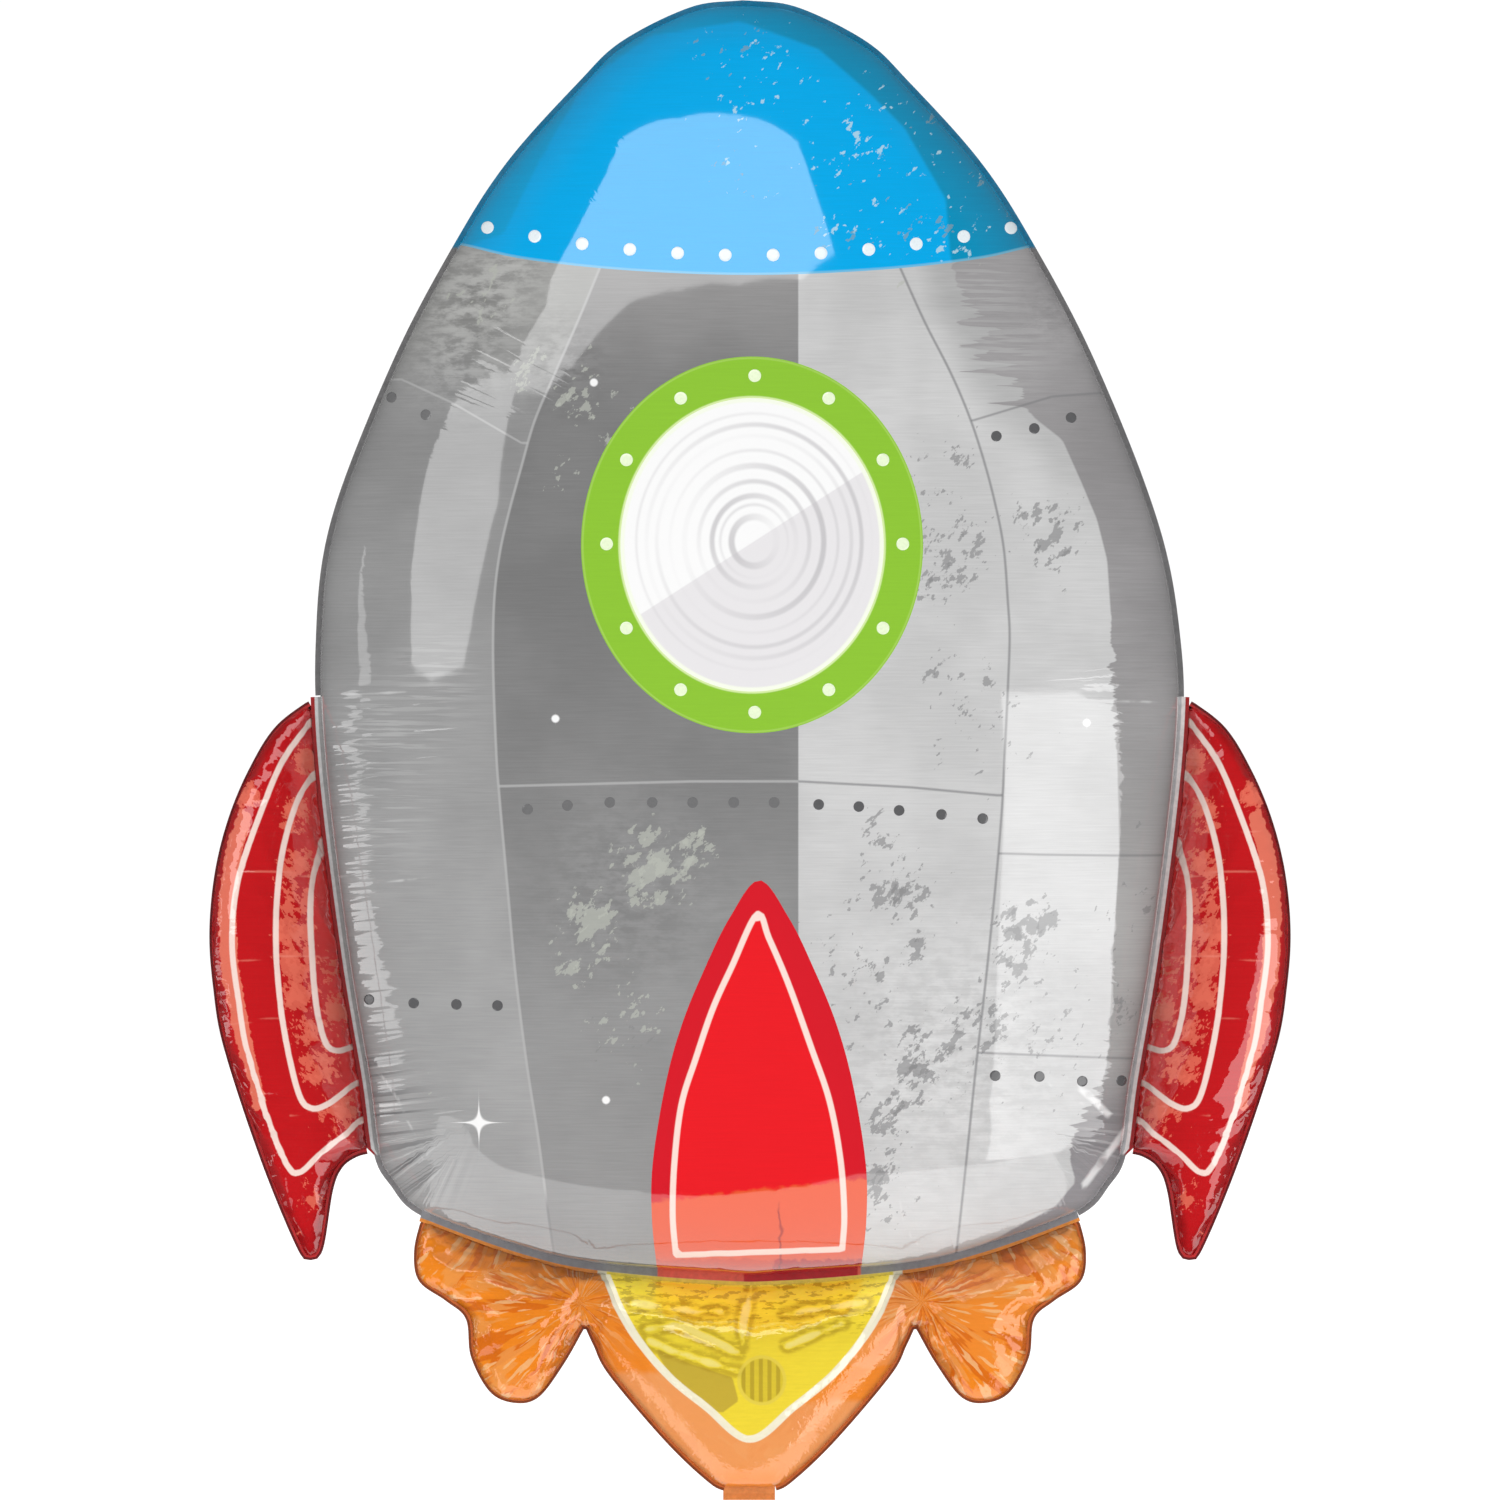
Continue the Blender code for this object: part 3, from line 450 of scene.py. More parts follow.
class Chamber:
    """Front sheet of one gas-filled chamber, as facets with values at their corners."""

    def __init__(self, loop, step):
        self.step = step
        self.rim = rim_points(inset(loop, SEAM), step)
        self.measure_width()
        self.fill()
        self.inflate()
        foot, deep = nearest_on(self.plan, self.rim)[:2]
        self.values = {"flat": self.plan.copy(), "foot": foot, "deep": deep}

    def corners(self, points):
        return (points[self.facets[:, i]] for i in range(3))

    def measure_width(self):
        """Half the chamber's width at each rim point, evened out along the rim."""
        width = []
        for point, normal in zip(self.rim, outward(self.rim)):
            reach = self.rim - point
            depth = -(reach @ normal)
            size = (reach ** 2).sum(axis=1)
            ball = np.where(depth > 1e-6, size / np.maximum(2 * depth, 1e-6), 1e9)
            width.append(max(ball.min(), 0.5))
        width = np.minimum(width, np.percentile(width, 80))
        for _ in range(6):
            width = 0.25 * (np.roll(width, 1) + 2 * width + np.roll(width, -1))
        self.half_width = width

    def fill(self):
        """Points in rows along the rim, evenly spaced on the blown-up sheet, and a grid."""
        side = outward(self.rim)
        turn = self.step / self.half_width.max()
        rows = [self.rim]
        for row in range(1, int(math.radians(BAND_ANGLE) / turn) + 1):
            apart = self.half_width * turn
            skip = np.exp2(np.ceil(np.log2(np.maximum(ROW_STEP * self.step / apart, 1))))
            offset = self.half_width * (1 - math.cos(row * turn))
            moved = (self.rim - side * offset[:, None])[row % skip == 0]
            offset = offset[row % skip == 0]
            if len(moved):
                rows.append(moved[nearest_on(moved, self.rim)[1] > ROW_KEPT * offset])
        band = np.vstack(rows)
        low, high = self.rim.min(axis=0), self.rim.max(axis=0)
        grid = []
        spacing = GRID_STEP * self.step
        for row, z in enumerate(np.arange(low[1], high[1], spacing * math.sqrt(0.75))):
            x = np.arange(low[0], high[0] + spacing, spacing) + 0.5 * spacing * (row % 2)
            grid.append(np.stack([x, np.full(len(x), z)], axis=1))
        grid = np.vstack(grid)
        grid = grid[inside(grid, self.rim)]
        clear = nearest_dots(grid, band)[1] > GRID_CLEARANCE * self.step
        points = np.vstack([band, grid[clear]])
        count = len(self.rim)
        edges = [(i, (i + 1) % count) for i in range(count)]
        found = delaunay_2d_cdt([tuple(p) for p in points], edges, [], 0, 1e-5, False)
        self.plan = np.array([tuple(p) for p in found[0]])
        facets = np.array([f for f in found[2]])
        self.facets = facets[inside(self.plan[facets].mean(axis=1), self.rim)]
        double = doubled_area(*self.corners(self.plan))
        self.facets[double < 0] = self.facets[double < 0][:, ::-1]
        self.facets = self.facets[np.abs(double) > 1e-9]
        self.on_rim = nearest_on(self.plan, self.rim)[1] < 1e-4

    def inflate(self):
        """Depth of each point, from a membrane that is held at the rim and blown up."""
        a, b, c = self.corners(self.plan)
        double = doubled_area(a, b, c)
        slope = (b - c, c - a, a - b)
        size = len(self.plan)
        load = sum(np.bincount(self.facets[:, i], double / 6, size) for i in range(3))
        stiff = sum(np.bincount(self.facets[:, i], (slope[i] ** 2).sum(axis=1) / (2 * double), size)
                    for i in range(3))
        starts, ends, pulls = [], [], []
        for i, j in ((0, 1), (1, 2), (2, 0)):
            pull = (slope[i] * slope[j]).sum(axis=1) / (2 * double)
            starts += [self.facets[:, i], self.facets[:, j]]
            ends += [self.facets[:, j], self.facets[:, i]]
            pulls += [pull, pull]
        starts, ends, pulls = (np.concatenate(x) for x in (starts, ends, pulls))
        free = ~self.on_rim
        lift = np.zeros(size)
        left = load * free
        guide = left / stiff
        push = guide.copy()
        score = left @ guide
        goal = SETTLED * score
        for _ in range(6000):
            drawn = (stiff * push + np.bincount(starts, pulls * push[ends], size)) * free
            stride = score / (push @ drawn)
            lift += stride * push
            left -= stride * drawn
            guide = left / stiff
            new = left @ guide
            if new < goal:
                break
            push = guide + (new / score) * push
            score = new
        self.depth = PLUMPNESS * np.sqrt(2 * np.maximum(lift, 0))
        self.points = np.stack([self.plan[:, 0], -self.depth - GAP / 2, self.plan[:, 1]], axis=1)
        self.find_normals()
        self.smooth_normals = self.normals

    def find_normals(self):
        a, b, c = self.corners(self.points)
        face = np.cross(b - a, c - a)
        normal = np.stack([sum(np.bincount(self.facets[:, i], face[:, k], len(self.points))
                               for i in range(3)) for k in range(3)], axis=1)
        rim = np.where(self.on_rim)[0]
        gaps = [int(np.argmin(np.linalg.norm(self.rim - self.plan[i], axis=1))) for i in rim]
        side = outward(self.rim)[gaps]
        normal[rim] = np.stack([side[:, 0], np.zeros(len(rim)), side[:, 1]], axis=1)
        self.normals = normal / np.maximum(np.linalg.norm(normal, axis=1), 1e-12)[:, None]

    def mirrored_view(self, x, z):
        """Where a line of sight along Y meets the smooth film, and its way on from there."""
        near = np.hypot(self.plan[:, 0] - x, self.plan[:, 1] - z) < 2 * self.step
        normal = self.smooth_normals[near].mean(axis=0)
        normal /= np.linalg.norm(normal)
        start = Vector((x * MM, -self.depth[near].mean() * MM, z * MM))
        return start, Vector((0, 1, 0)) - Vector(normal) * (2 * float(normal[1]))

    def press(self, depth):
        """Press the film in by a depth at each point."""
        self.points -= self.normals * depth[:, None]
        self.find_normals()

    def add_puckers(self, height, spacing, reach, base, seed, table=()):
        """Press in sharp creases that start at the rim, side by side, and fade inwards."""
        foot, deep = self.values["foot"], self.values["deep"]
        amount = self.values["pucker"] = np.maximum(spots(foot, table), base)
        crease = np.clip(1 - 5.0 * np.abs(waves(foot / spacing, seed)), 0, 1)
        length = reach * np.clip(0.55 + waves(foot / 17, seed + 9), 0.15, 1) * amount ** 0.5
        fade = np.clip(1 - deep / length, 0, 1)
        self.press(height * amount * crease * fade * np.clip(deep / 2.0, 0, 1))

    def add_gathers(self, centres, height, creases, seed):
        """Press in creases that fan out from the nearest of some points."""
        flat, deep = self.values["flat"], self.values["deep"]
        away = flat[:, None, :] - np.array(centres, dtype=float)[None, :, :]
        reach = np.linalg.norm(away, axis=2)
        nearest = reach.argmin(axis=1)
        row = np.arange(len(flat))
        reach = reach[row, nearest]
        turn = away[row, nearest] / np.maximum(reach, 1e-6)[:, None] * creases / 6
        spot = self.values["gather"] = np.column_stack([turn, reach / 22 + nearest * 9 + seed])
        wave = np.array([noise.noise(Vector(p)) for p in spot])
        depth = height * np.clip(1 - 4.0 * np.abs(wave), 0, 1) * self.values["gathered"]
        self.press(depth * np.clip(deep / 4, 0, 1) * np.clip(reach / 12, 0, 1))

    def press_lines(self, gap, height, width):
        """Press in folds along some lines, from the distance to the nearest of them."""
        self.press(height * np.exp(-(gap / width) ** 2) * np.clip(self.values["deep"] / 6, 0, 1))

    def crumple(self, excess, cap, share=1.0):
        """Let the film be longer than the gas needs, so that it buckles under pressure."""
        scene = bpy.context.scene
        points = (self.points * CLOTH_SCALE).tolist()
        mesh = new_mesh("crumpling film", points, faces=self.facets.tolist())
        obj = link("crumpling film", mesh)
        obj.vertex_groups.new(name="rim").add(np.where(self.on_rim)[0].tolist(), 1.0, "REPLACE")
        cloth = obj.modifiers.new("film", "CLOTH")
        for key, value in CLOTH.items():
            setattr(cloth.settings, key, value)
        cloth.settings.shrink_min = -excess
        cloth.settings.effector_weights.gravity = 0
        cloth.collision_settings.use_collision = False
        cloth.point_cache.frame_start = 1
        cloth.point_cache.frame_end = CLOTH_FRAMES
        for number in range(1, CLOTH_FRAMES + 1):
            scene.frame_set(number)
        result = obj.evaluated_get(bpy.context.evaluated_depsgraph_get()).to_mesh()
        moved = np.zeros(3 * len(self.points), np.float32)
        result.vertices.foreach_get("co", moved)
        scene.frame_set(1)
        bpy.data.objects.remove(obj, do_unlink=True)
        bpy.data.meshes.remove(mesh)
        step = moved.reshape(-1, 3) / CLOTH_SCALE - self.points
        size = np.linalg.norm(step, axis=1)
        step *= (share * cap * np.tanh(size / cap) / np.maximum(size, 1e-9))[:, None]
        self.points = self.points + step * (~self.on_rim)[:, None]
        self.points[:, 1] = np.minimum(self.points[:, 1], -GAP / 2)
        self.find_normals()

    def cut(self, name):
        """Split the facets where a named value changes sign."""
        value = self.values[name]
        over = value[self.facets] > 0
        count = over.sum(axis=1)
        mixed = (count == 1) | (count == 2)
        cut = self.facets[mixed]
        lone = np.where(count[mixed] == 1, over[mixed].argmax(axis=1), (~over[mixed]).argmax(axis=1))
        row = np.arange(len(cut))
        p, q, r = (cut[row, (lone + k) % 3] for k in range(3))
        pairs = np.sort(np.concatenate([np.stack([p, q], 1), np.stack([p, r], 1)]), axis=1)
        edges, place = np.unique(pairs, axis=0, return_inverse=True)
        place = place.reshape(-1) + len(value)
        first, last = edges.T
        share = np.clip(value[first] / (value[first] - value[last]), 0.02, 0.98)

        def grown(array):
            s = share if array.ndim == 1 else share[:, None]
            return np.concatenate([array, array[first] * (1 - s) + array[last] * s])

        self.on_rim = np.concatenate([self.on_rim, self.on_rim[first] & self.on_rim[last]])
        self.points, self.normals = grown(self.points), grown(self.normals)
        self.normals /= np.linalg.norm(self.normals, axis=1)[:, None]
        self.values = {key: grown(array) for key, array in self.values.items()}
        self.values[name][len(value):] = 0
        pq, pr = place[:len(cut)], place[len(cut):]
        self.facets = np.concatenate([
            self.facets[~mixed], np.stack([p, pq, pr], 1), np.stack([pq, q, r], 1),
            np.stack([pq, r, pr], 1),
        ])

    def where(self, name):
        """Tell which facets have a positive named value."""
        return self.values[name][self.facets].mean(axis=1) > 0


def link(name, data):
    """Put an object with this data in the scene."""
    obj = bpy.data.objects.new(name, data)
    bpy.context.scene.collection.objects.link(obj)
    return obj


def new_mesh(name, points, edges=(), faces=()):
    mesh = bpy.data.meshes.new(name)
    mesh.from_pydata(points, edges, faces)
    return mesh


def new_material(name):
    material = bpy.data.materials.new(name)
    material.use_nodes = True
    return material


def store(mesh, name, array):
    """Keep a value or a vector for each point of a mesh."""
    kind, key = ("FLOAT", "value") if array.ndim == 1 else ("FLOAT_VECTOR", "vector")
    if array.ndim == 2:
        array = np.pad(array, ((0, 0), (0, 3 - array.shape[1])))
    mesh.attributes.new(name, kind, "POINT").data.foreach_set(key, array.astype(np.float32).ravel())


def film_mesh(name, chamber, chosen, wall, mirror_x, mirror_y):
    """Closed shell of one field of film, with the smooth normals of the whole chamber."""
    used, facets = np.unique(chamber.facets[chosen], return_inverse=True)
    facets = facets.reshape(-1, 3)
    outer, normals = chamber.points[used], chamber.normals[used]
    inner = outer - normals * wall
    inner[:, 1] = np.minimum(inner[:, 1], -GAP / 2)
    points = np.vstack([outer, inner])
    depth = len(used)
    ways = np.concatenate([facets[:, [0, 1]], facets[:, [1, 2]], facets[:, [2, 0]]]).tolist()
    known = set(map(tuple, ways))
    a, b = np.array([way for way in ways if (way[1], way[0]) not in known]).T
    sides = np.stack([b, a, a + depth, b + depth], axis=1)
    across = np.cross(points[a] - points[b], points[a + depth] - points[b])
    across /= np.maximum(np.linalg.norm(across, axis=1), 1e-12)[:, None]
    flip = np.array([-1 if mirror_x else 1, -1 if mirror_y else 1, 1])
    turned = facets[:, ::-1]
    faces = facets.tolist() + (turned + depth).tolist() + sides.tolist()
    corner = np.concatenate([normals[facets].reshape(-1, 3), -normals[turned].reshape(-1, 3),
                             np.repeat(across, 4, axis=0)]) * flip
    if mirror_x != mirror_y:
        faces = [face[::-1] for face in faces]
        ends = np.concatenate([[0], np.cumsum([len(face) for face in faces])])
        corner = corner[np.repeat(ends[:-1] + ends[1:] - 1, np.diff(ends)) - np.arange(ends[-1])]
    mesh = new_mesh(name, (points * flip * MM).tolist(), faces=faces)
    mesh.shade_smooth()
    mesh.normals_split_custom_set(corner.tolist())
    for key, array in chamber.values.items():
        store(mesh, key, np.concatenate([array[used], array[used]]))
    return mesh


def add_piece(name, mesh, material, node):
    """Put a finished mesh in the scene in place of a node of the model."""
    mesh.materials.clear()
    mesh.materials.append(material)
    obj = link(name, mesh)
    if node:
        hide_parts(node)
    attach(obj, "root")
    return obj


def mirrored_mesh(mesh, name):
    """Copy of a mesh on the other side of the seam plane."""
    form = bmesh.new()
    form.from_mesh(mesh)
    for vertex in form.verts:
        vertex.co.y = -vertex.co.y
    bmesh.ops.reverse_faces(form, faces=form.faces)
    copy = bpy.data.meshes.new(name)
    form.to_mesh(copy)
    form.free()
    copy.shade_smooth()
    return copy


def arithmetic(operation, turned=False):
    """A sum of a value and others, which come before it where the sum is turned."""
    def work(value, *others):
        values = (*others, value) if turned else (value, *others)
        return value.web.math(operation, *values)
    return work


class Value:
    """What a node puts out, for sums that are written as plain arithmetic."""

    def __init__(self, web, socket):
        self.web = web
        self.socket = socket

    __add__, __radd__ = arithmetic("ADD"), arithmetic("ADD", turned=True)
    __sub__, __rsub__ = arithmetic("SUBTRACT"), arithmetic("SUBTRACT", turned=True)
    __mul__, __truediv__ = arithmetic("MULTIPLY"), arithmetic("DIVIDE")
    __rtruediv__ = arithmetic("DIVIDE", turned=True)
    __pow__, __abs__ = arithmetic("POWER"), arithmetic("ABSOLUTE")
    larger = arithmetic("MAXIMUM")

    def clamped(self):
        self.socket.node.use_clamp = True
        return self

    def other(self, output):
        """Another output of the same node."""
        return Value(self.web, self.socket.node.outputs[output])


class NodeWeb:
    """Short calls for adding nodes to a tree and joining them."""

    def __init__(self, tree):
        self.tree = tree

    def put(self, node, inputs):
        """Set a node's inputs, or join values or attributes of the mesh to them."""
        for key, value in inputs.items():
            socket = node.inputs[key]
            if isinstance(value, str) and socket.type != "STRING":
                value = self.attribute(value, "Vector" if socket.type == "VECTOR" else "Fac")
            if isinstance(value, Value):
                self.tree.links.new(value.socket, socket)
            elif value is not None:
                socket.default_value = value

    def add(self, kind, inputs=None, output=0, **settings):
        """Add a node and return one of its outputs."""
        node = self.tree.nodes.new(kind)
        for key, value in settings.items():
            setattr(node, key, value)
        self.put(node, inputs or {})
        return Value(self, node.outputs[output])

    def math(self, operation, *values, output=0):
        vectors = any(isinstance(v, Value) and v.socket.type == "VECTOR" for v in values)
        kind = "ShaderNodeVectorMath" if vectors else "ShaderNodeMath"
        return self.add(kind, dict(enumerate(values)), output, operation=operation)

    def scaled(self, vector, amount):
        return self.add("ShaderNodeVectorMath", {0: vector, "Scale": amount}, operation="SCALE")

    def vector(self, x=None, y=None, z=None):
        return self.add("ShaderNodeCombineXYZ", {0: x, 1: y, 2: z})

    def split(self, vector, axis):
        return self.add("ShaderNodeSeparateXYZ", {0: vector}, axis)

    def step(self, value, first, last, start=0.0, end=1.0, kind="SMOOTHSTEP"):
        """Go from start to end as the value goes from first to last."""
        return self.add("ShaderNodeMapRange", {0: value, 1: first, 2: last, 3: start, 4: end},
                        interpolation_type=kind)

    def mix(self, share, a, b, blend="MIX"):
        """Blend two colours, which may be printed ones."""
        a, b = (linear(color) if isinstance(color, (int, tuple)) else color for color in (a, b))
        return self.add("ShaderNodeMix", {0: share, 6: a, 7: b}, 2, data_type="RGBA", blend_type=blend)

    def graded(self, value, color, *steps):
        """A colour that changes to others, each as the value goes from one bound to the next."""
        for first, last, other in steps:
            color = self.mix(self.step(value, first, last), color, other)
        return color

    def attribute(self, name, output="Fac"):
        return self.add("ShaderNodeAttribute", output=output, attribute_name=name)

    def noise(self, vector, scale, detail=2.0, rough=0.5):
        return self.add("ShaderNodeTexNoise", {"Vector": vector, "Scale": scale, "Detail": detail,
                                               "Roughness": rough})

    def effect(self, build, **inputs):
        """Place a shared node group, which is built when it is first called for."""
        tree = bpy.data.node_groups.get(build.__name__.replace("_", " ")) or build()
        inputs = {key.replace("_", " "): value for key, value in inputs.items()}
        return self.add("ShaderNodeGroup", node_tree=tree, inputs=inputs)

    def end(self, value):
        """Join what a group puts out, and return the group."""
        self.put(self.tree.nodes.new("NodeGroupOutput"), {0: value})
        return self.tree


def new_group(name, output, inputs, kind="ShaderNodeTree"):
    """Start a node group, and return it with what it is given through its named inputs.

    Each input has a default, or the kind of its socket.
    """
    tree = bpy.data.node_groups.new(name, kind)
    for label, default in inputs.items():
        plain = {float: "Float", int: "Int"}.get(type(default))
        socket = tree.interface.new_socket(label, in_out="INPUT",
                                           socket_type=f"NodeSocket{plain or default}")
        if plain:
            socket.default_value = default
    result = "Float" if kind == "ShaderNodeTree" else "Geometry"
    tree.interface.new_socket(output, in_out="OUTPUT", socket_type=f"NodeSocket{result}")
    web = NodeWeb(tree)
    given = tree.nodes.new("NodeGroupInput")
    return web, [Value(web, given.outputs[label]) for label in inputs]


def creased_film():
    """Height in millimetres of fine creases along the rim and over the film."""
    web, (height, reach, spacing, crinkle_height, crinkle_size) = new_group("creased film", "Height", {
        "Pucker Height": 0.1, "Reach": 80.0, "Pucker Spacing": 5.0, "Crinkle Height": 0.02,
        "Crinkle Size": 20.0})
    foot = web.attribute("foot", "Vector")
    deep, amount = web.attribute("deep"), web.attribute("pucker")
    wave = web.noise(foot + web.vector(z=deep * 0.06), 1.0 / spacing, 1.0)
    line = (1.0 - abs(wave - 0.5) * 9.0).clamped()
    length = web.step(web.noise(foot, 0.11), 0.3, 0.7, 0.15, 1.2)
    fade = (1.0 - deep / (reach * (length * amount) + 1.0)).clamped()
    fold = web.noise("flat", 1.0 / crinkle_size, 3.0, 0.55)
    crinkle = (1.0 - abs(fold - 0.5) * 7.0).clamped() * crinkle_height
    return web.end((line * fade * (height * amount) + crinkle) * -1.0)


def printed_line():
    """Mask of a printed line, from the distance to its middle in millimetres."""
    web, (distance, width, blur) = new_group("printed line", "Mask", {
        "Distance": 0.0, "Width": 3.0, "Blur": 0.3})
    return web.end(web.step((abs(distance) - width * 0.5) / blur, 1.0, -1.0))


def brushed_streaks():
    """Fine level streaks, from -1 to 1."""
    web, (fineness, stretch) = new_group("brushed streaks", "Value", {
        "Fineness": 1.2, "Stretch": 30.0})
    squeeze = web.vector(fineness / stretch, fineness, 1.0)
    grain = web.noise(web.attribute("flat", "Vector") * squeeze, 1.0, 3.0, 0.6)
    return web.end(web.step(grain, 0.25, 0.75, -1.0, 1.0, "LINEAR"))


def crisp_flecks():
    """Crisp flecks, from the share of the film that they cover."""
    web, (amount, size, shift) = new_group("crisp flecks", "Mask", {
        "Amount": 0.3, "Size": 14.0, "Shift": 0.0})
    spot = web.attribute("flat", "Vector") + web.vector(z=shift)
    rate = 1.0 / size
    turned = web.add("ShaderNodeVectorRotate", {"Vector": spot, "Angle": 0.75}, rotation_type="Z_AXIS")
    grain = web.noise(turned * (1.0, 0.55, 1.0), rate, 4.0, 0.62)
    patch = web.step(web.noise(spot, rate * 0.22), 0.38, 0.62, 0.6, 1.15)
    bar = 0.8 - amount * patch * 0.34
    return web.end(web.step(grain - bar, 0.0, 0.03))


def gathered_light_and_shade():
    """Painted highlights and shade: thin bright or dark streaks that fan out with the gathers of the
    film.
    """
    web, (level, blur, shift, fineness) = new_group("gathered light and shade", "Mask", {
        "Level": 0.56, "Blur": 0.05, "Shift": 0.0, "Fineness": 1.0})
    spot = (web.attribute("gather", "Vector") + web.vector(z=shift)) * (1.5, 1.5, 0.6)
    return web.end(web.step((web.noise(spot, fineness, 2.0, 0.55) - level) / blur, 0.0, 1.0))


def glint_star():
    """Mask of a small painted glint shaped as a star: a round glint with four long points."""
    web, (middle, reach) = new_group("glint star", "Mask", {"Middle": "Vector", "Reach": 10.0})
    away = abs(web.attribute("flat", "Vector") - middle)
    roots = [(web.split(away, axis) / reach) ** 0.29 for axis in (0, 1)]
    glint = web.step(web.math("LENGTH", away, output=1), 2.4, 1.4)
    return web.end(web.step(roots[0] + roots[1], 1.05, 0.9).larger(glint))


def combed_edge():
    """A distance whose zero line has level teeth where the film is puckered."""
    web, (distance, depth, spacing) = new_group("combed edge", "Value", {
        "Distance": 0.0, "Depth": 30.0, "Spacing": 3.5})
    level = web.attribute("flat", "Vector") * (0.04, 1.0, 1.0)
    tooth = web.noise(level, 1.0 / spacing) - 0.5
    return web.end(distance + tooth * web.step("pucker", 0.4, 0.9) * depth)


def linear(color):
    """Scene colour of a printed one: red, green and blue, or a grey, from 0 to 255."""
    shares = [value / 255 for value in (color if isinstance(color, tuple) else (color,) * 3)]
    return (*(s / 12.92 if s <= 0.04045 else ((s + 0.055) / 1.055) ** 2.4 for s in shares), 1.0)


class Film(NodeWeb):
    """A film material, printed layer by layer."""

    def __init__(self, name, color=None):
        self.material = new_material(name)
        super().__init__(self.material.node_tree)
        self.shader = self.tree.nodes["Principled BSDF"]
        self.put(self.shader, {"IOR": FILM_IOR, "Specular IOR Level": FILM_SPECULAR})
        self.color = color

    def place(self):
        """Where a point lies on the flat film: as a vector, and its width and height."""
        flat = self.attribute("flat", "Vector")
        return flat, self.split(flat, 0), self.split(flat, 1)

    def lay(self, share, color):
        self.color = self.mix(share, self.color, color)

    def dim(self, level):
        self.color = self.mix(1.0, self.color, level, "MULTIPLY")

    def brush(self, amount, fineness=1.2, stretch=30.0):
        """Lighten and darken the colour by brushed streaks."""
        streak = self.effect(brushed_streaks, Fineness=fineness, Stretch=stretch)
        self.dim(1.0 + streak * amount)

    def line(self, distance, width, blur):
        return self.effect(printed_line, Distance=distance, Width=width, Blur=blur)

    def flecks(self, amount, size, shift):
        return self.effect(crisp_flecks, Amount=amount, Size=size, Shift=shift)

    def creases(self, pucker, reach, crinkle, size):
        """Height of the film's fine creases: depth and reach of puckers, depth and size of crinkles."""
        return self.effect(creased_film, Pucker_Height=pucker, Reach=reach, Crinkle_Height=crinkle,
                           Crinkle_Size=size)

    def finish(self, roughness, metallic=0.0, height=None, strength=1.0):
        """Give the shader its print, gloss and relief."""
        self.put(self.shader, {"Base Color": self.color, "Roughness": roughness, "Metallic": metallic})
        if height:
            bump = {"Strength": strength, "Distance": MM, "Height": height}
            self.put(self.shader, {"Normal": self.add("ShaderNodeBump", bump)})
        return self.material


def nose_film(inks):
    film = Film("printed film, blue", inks.blue)
    across = film.place()[1]
    # painted shade: a teal band round the rim of the nose, outside the lit part, lighter on the left
    teal = film.mix(film.step(across, -60.0, 40.0), (4, 168, 224), inks.teal)
    film.lay(film.step("lit", 1.2, -1.2), teal)
    # painted shade: the blue darkens towards the nose's rim
    film.dim(film.step("deep", 1.0, 30.0, 0.86, 1.0))
    film.brush(0.05)
    film.lay(film.flecks("worn light", 3.6, 40.0) * 0.7, (200, 230, 240))
    film.lay(film.flecks("worn light", 5.0, 10.0) * 0.6, (140, 160, 165))
    film.lay(film.line("border", 2.2, 0.5) * 0.55, (150, 205, 225))
    creases = film.creases(pucker=0.10, reach=85.0, crinkle=0.006, size=30.0)
    return film.finish(roughness=0.05, metallic=0.02, height=creases)


def hull_tone(film, across, height, right, light_grey):
    """Grey of the printed plates, darker on the left, with painted shade: a dark band down the right
    side, and light grey that darkens beside it and towards the top.
    """
    left = film.graded(height, 152, (200.0, 460.0, 129), (520.0, 610.0, (150, 149, 149)))
    outer = film.graded(height, 168, (260.0, 480.0, 150), (530.0, 590.0, (166, 166, 164)))
    left = film.mix(film.step("long", 0.4, -0.4) * film.step(across, 1.0, -1.0), left, outer)
    # painted shade: the light grey darkens next to the band and towards the top
    near = film.step("lit", 26.0, 2.0) * film.step(height, 470.0, 560.0)
    near = near.larger(film.step(height, 530.0, 600.0, 0.0, 0.2))
    color = film.mix(right, left, film.mix(near, light_grey, 182))
    # painted shade: the dark band down the right side, its grey changing with height, with teeth where
    # the film puckers
    band = film.graded(height, (176, 175, 174), (250.0, 460.0, (154, 152, 153)),
                       (225.0, 180.0, (150, 147, 149)), (185.0, 150.0, (158, 155, 158)),
                       (520.0, 570.0, (166, 164, 165)))
    lit = film.effect(combed_edge, Distance="lit", Spacing=3.0,
                      Depth=film.step(height, 470.0, 540.0, 26.0, 70.0))
    return film.mix(film.step(lit, 0.6, -0.6) * right, color, band)


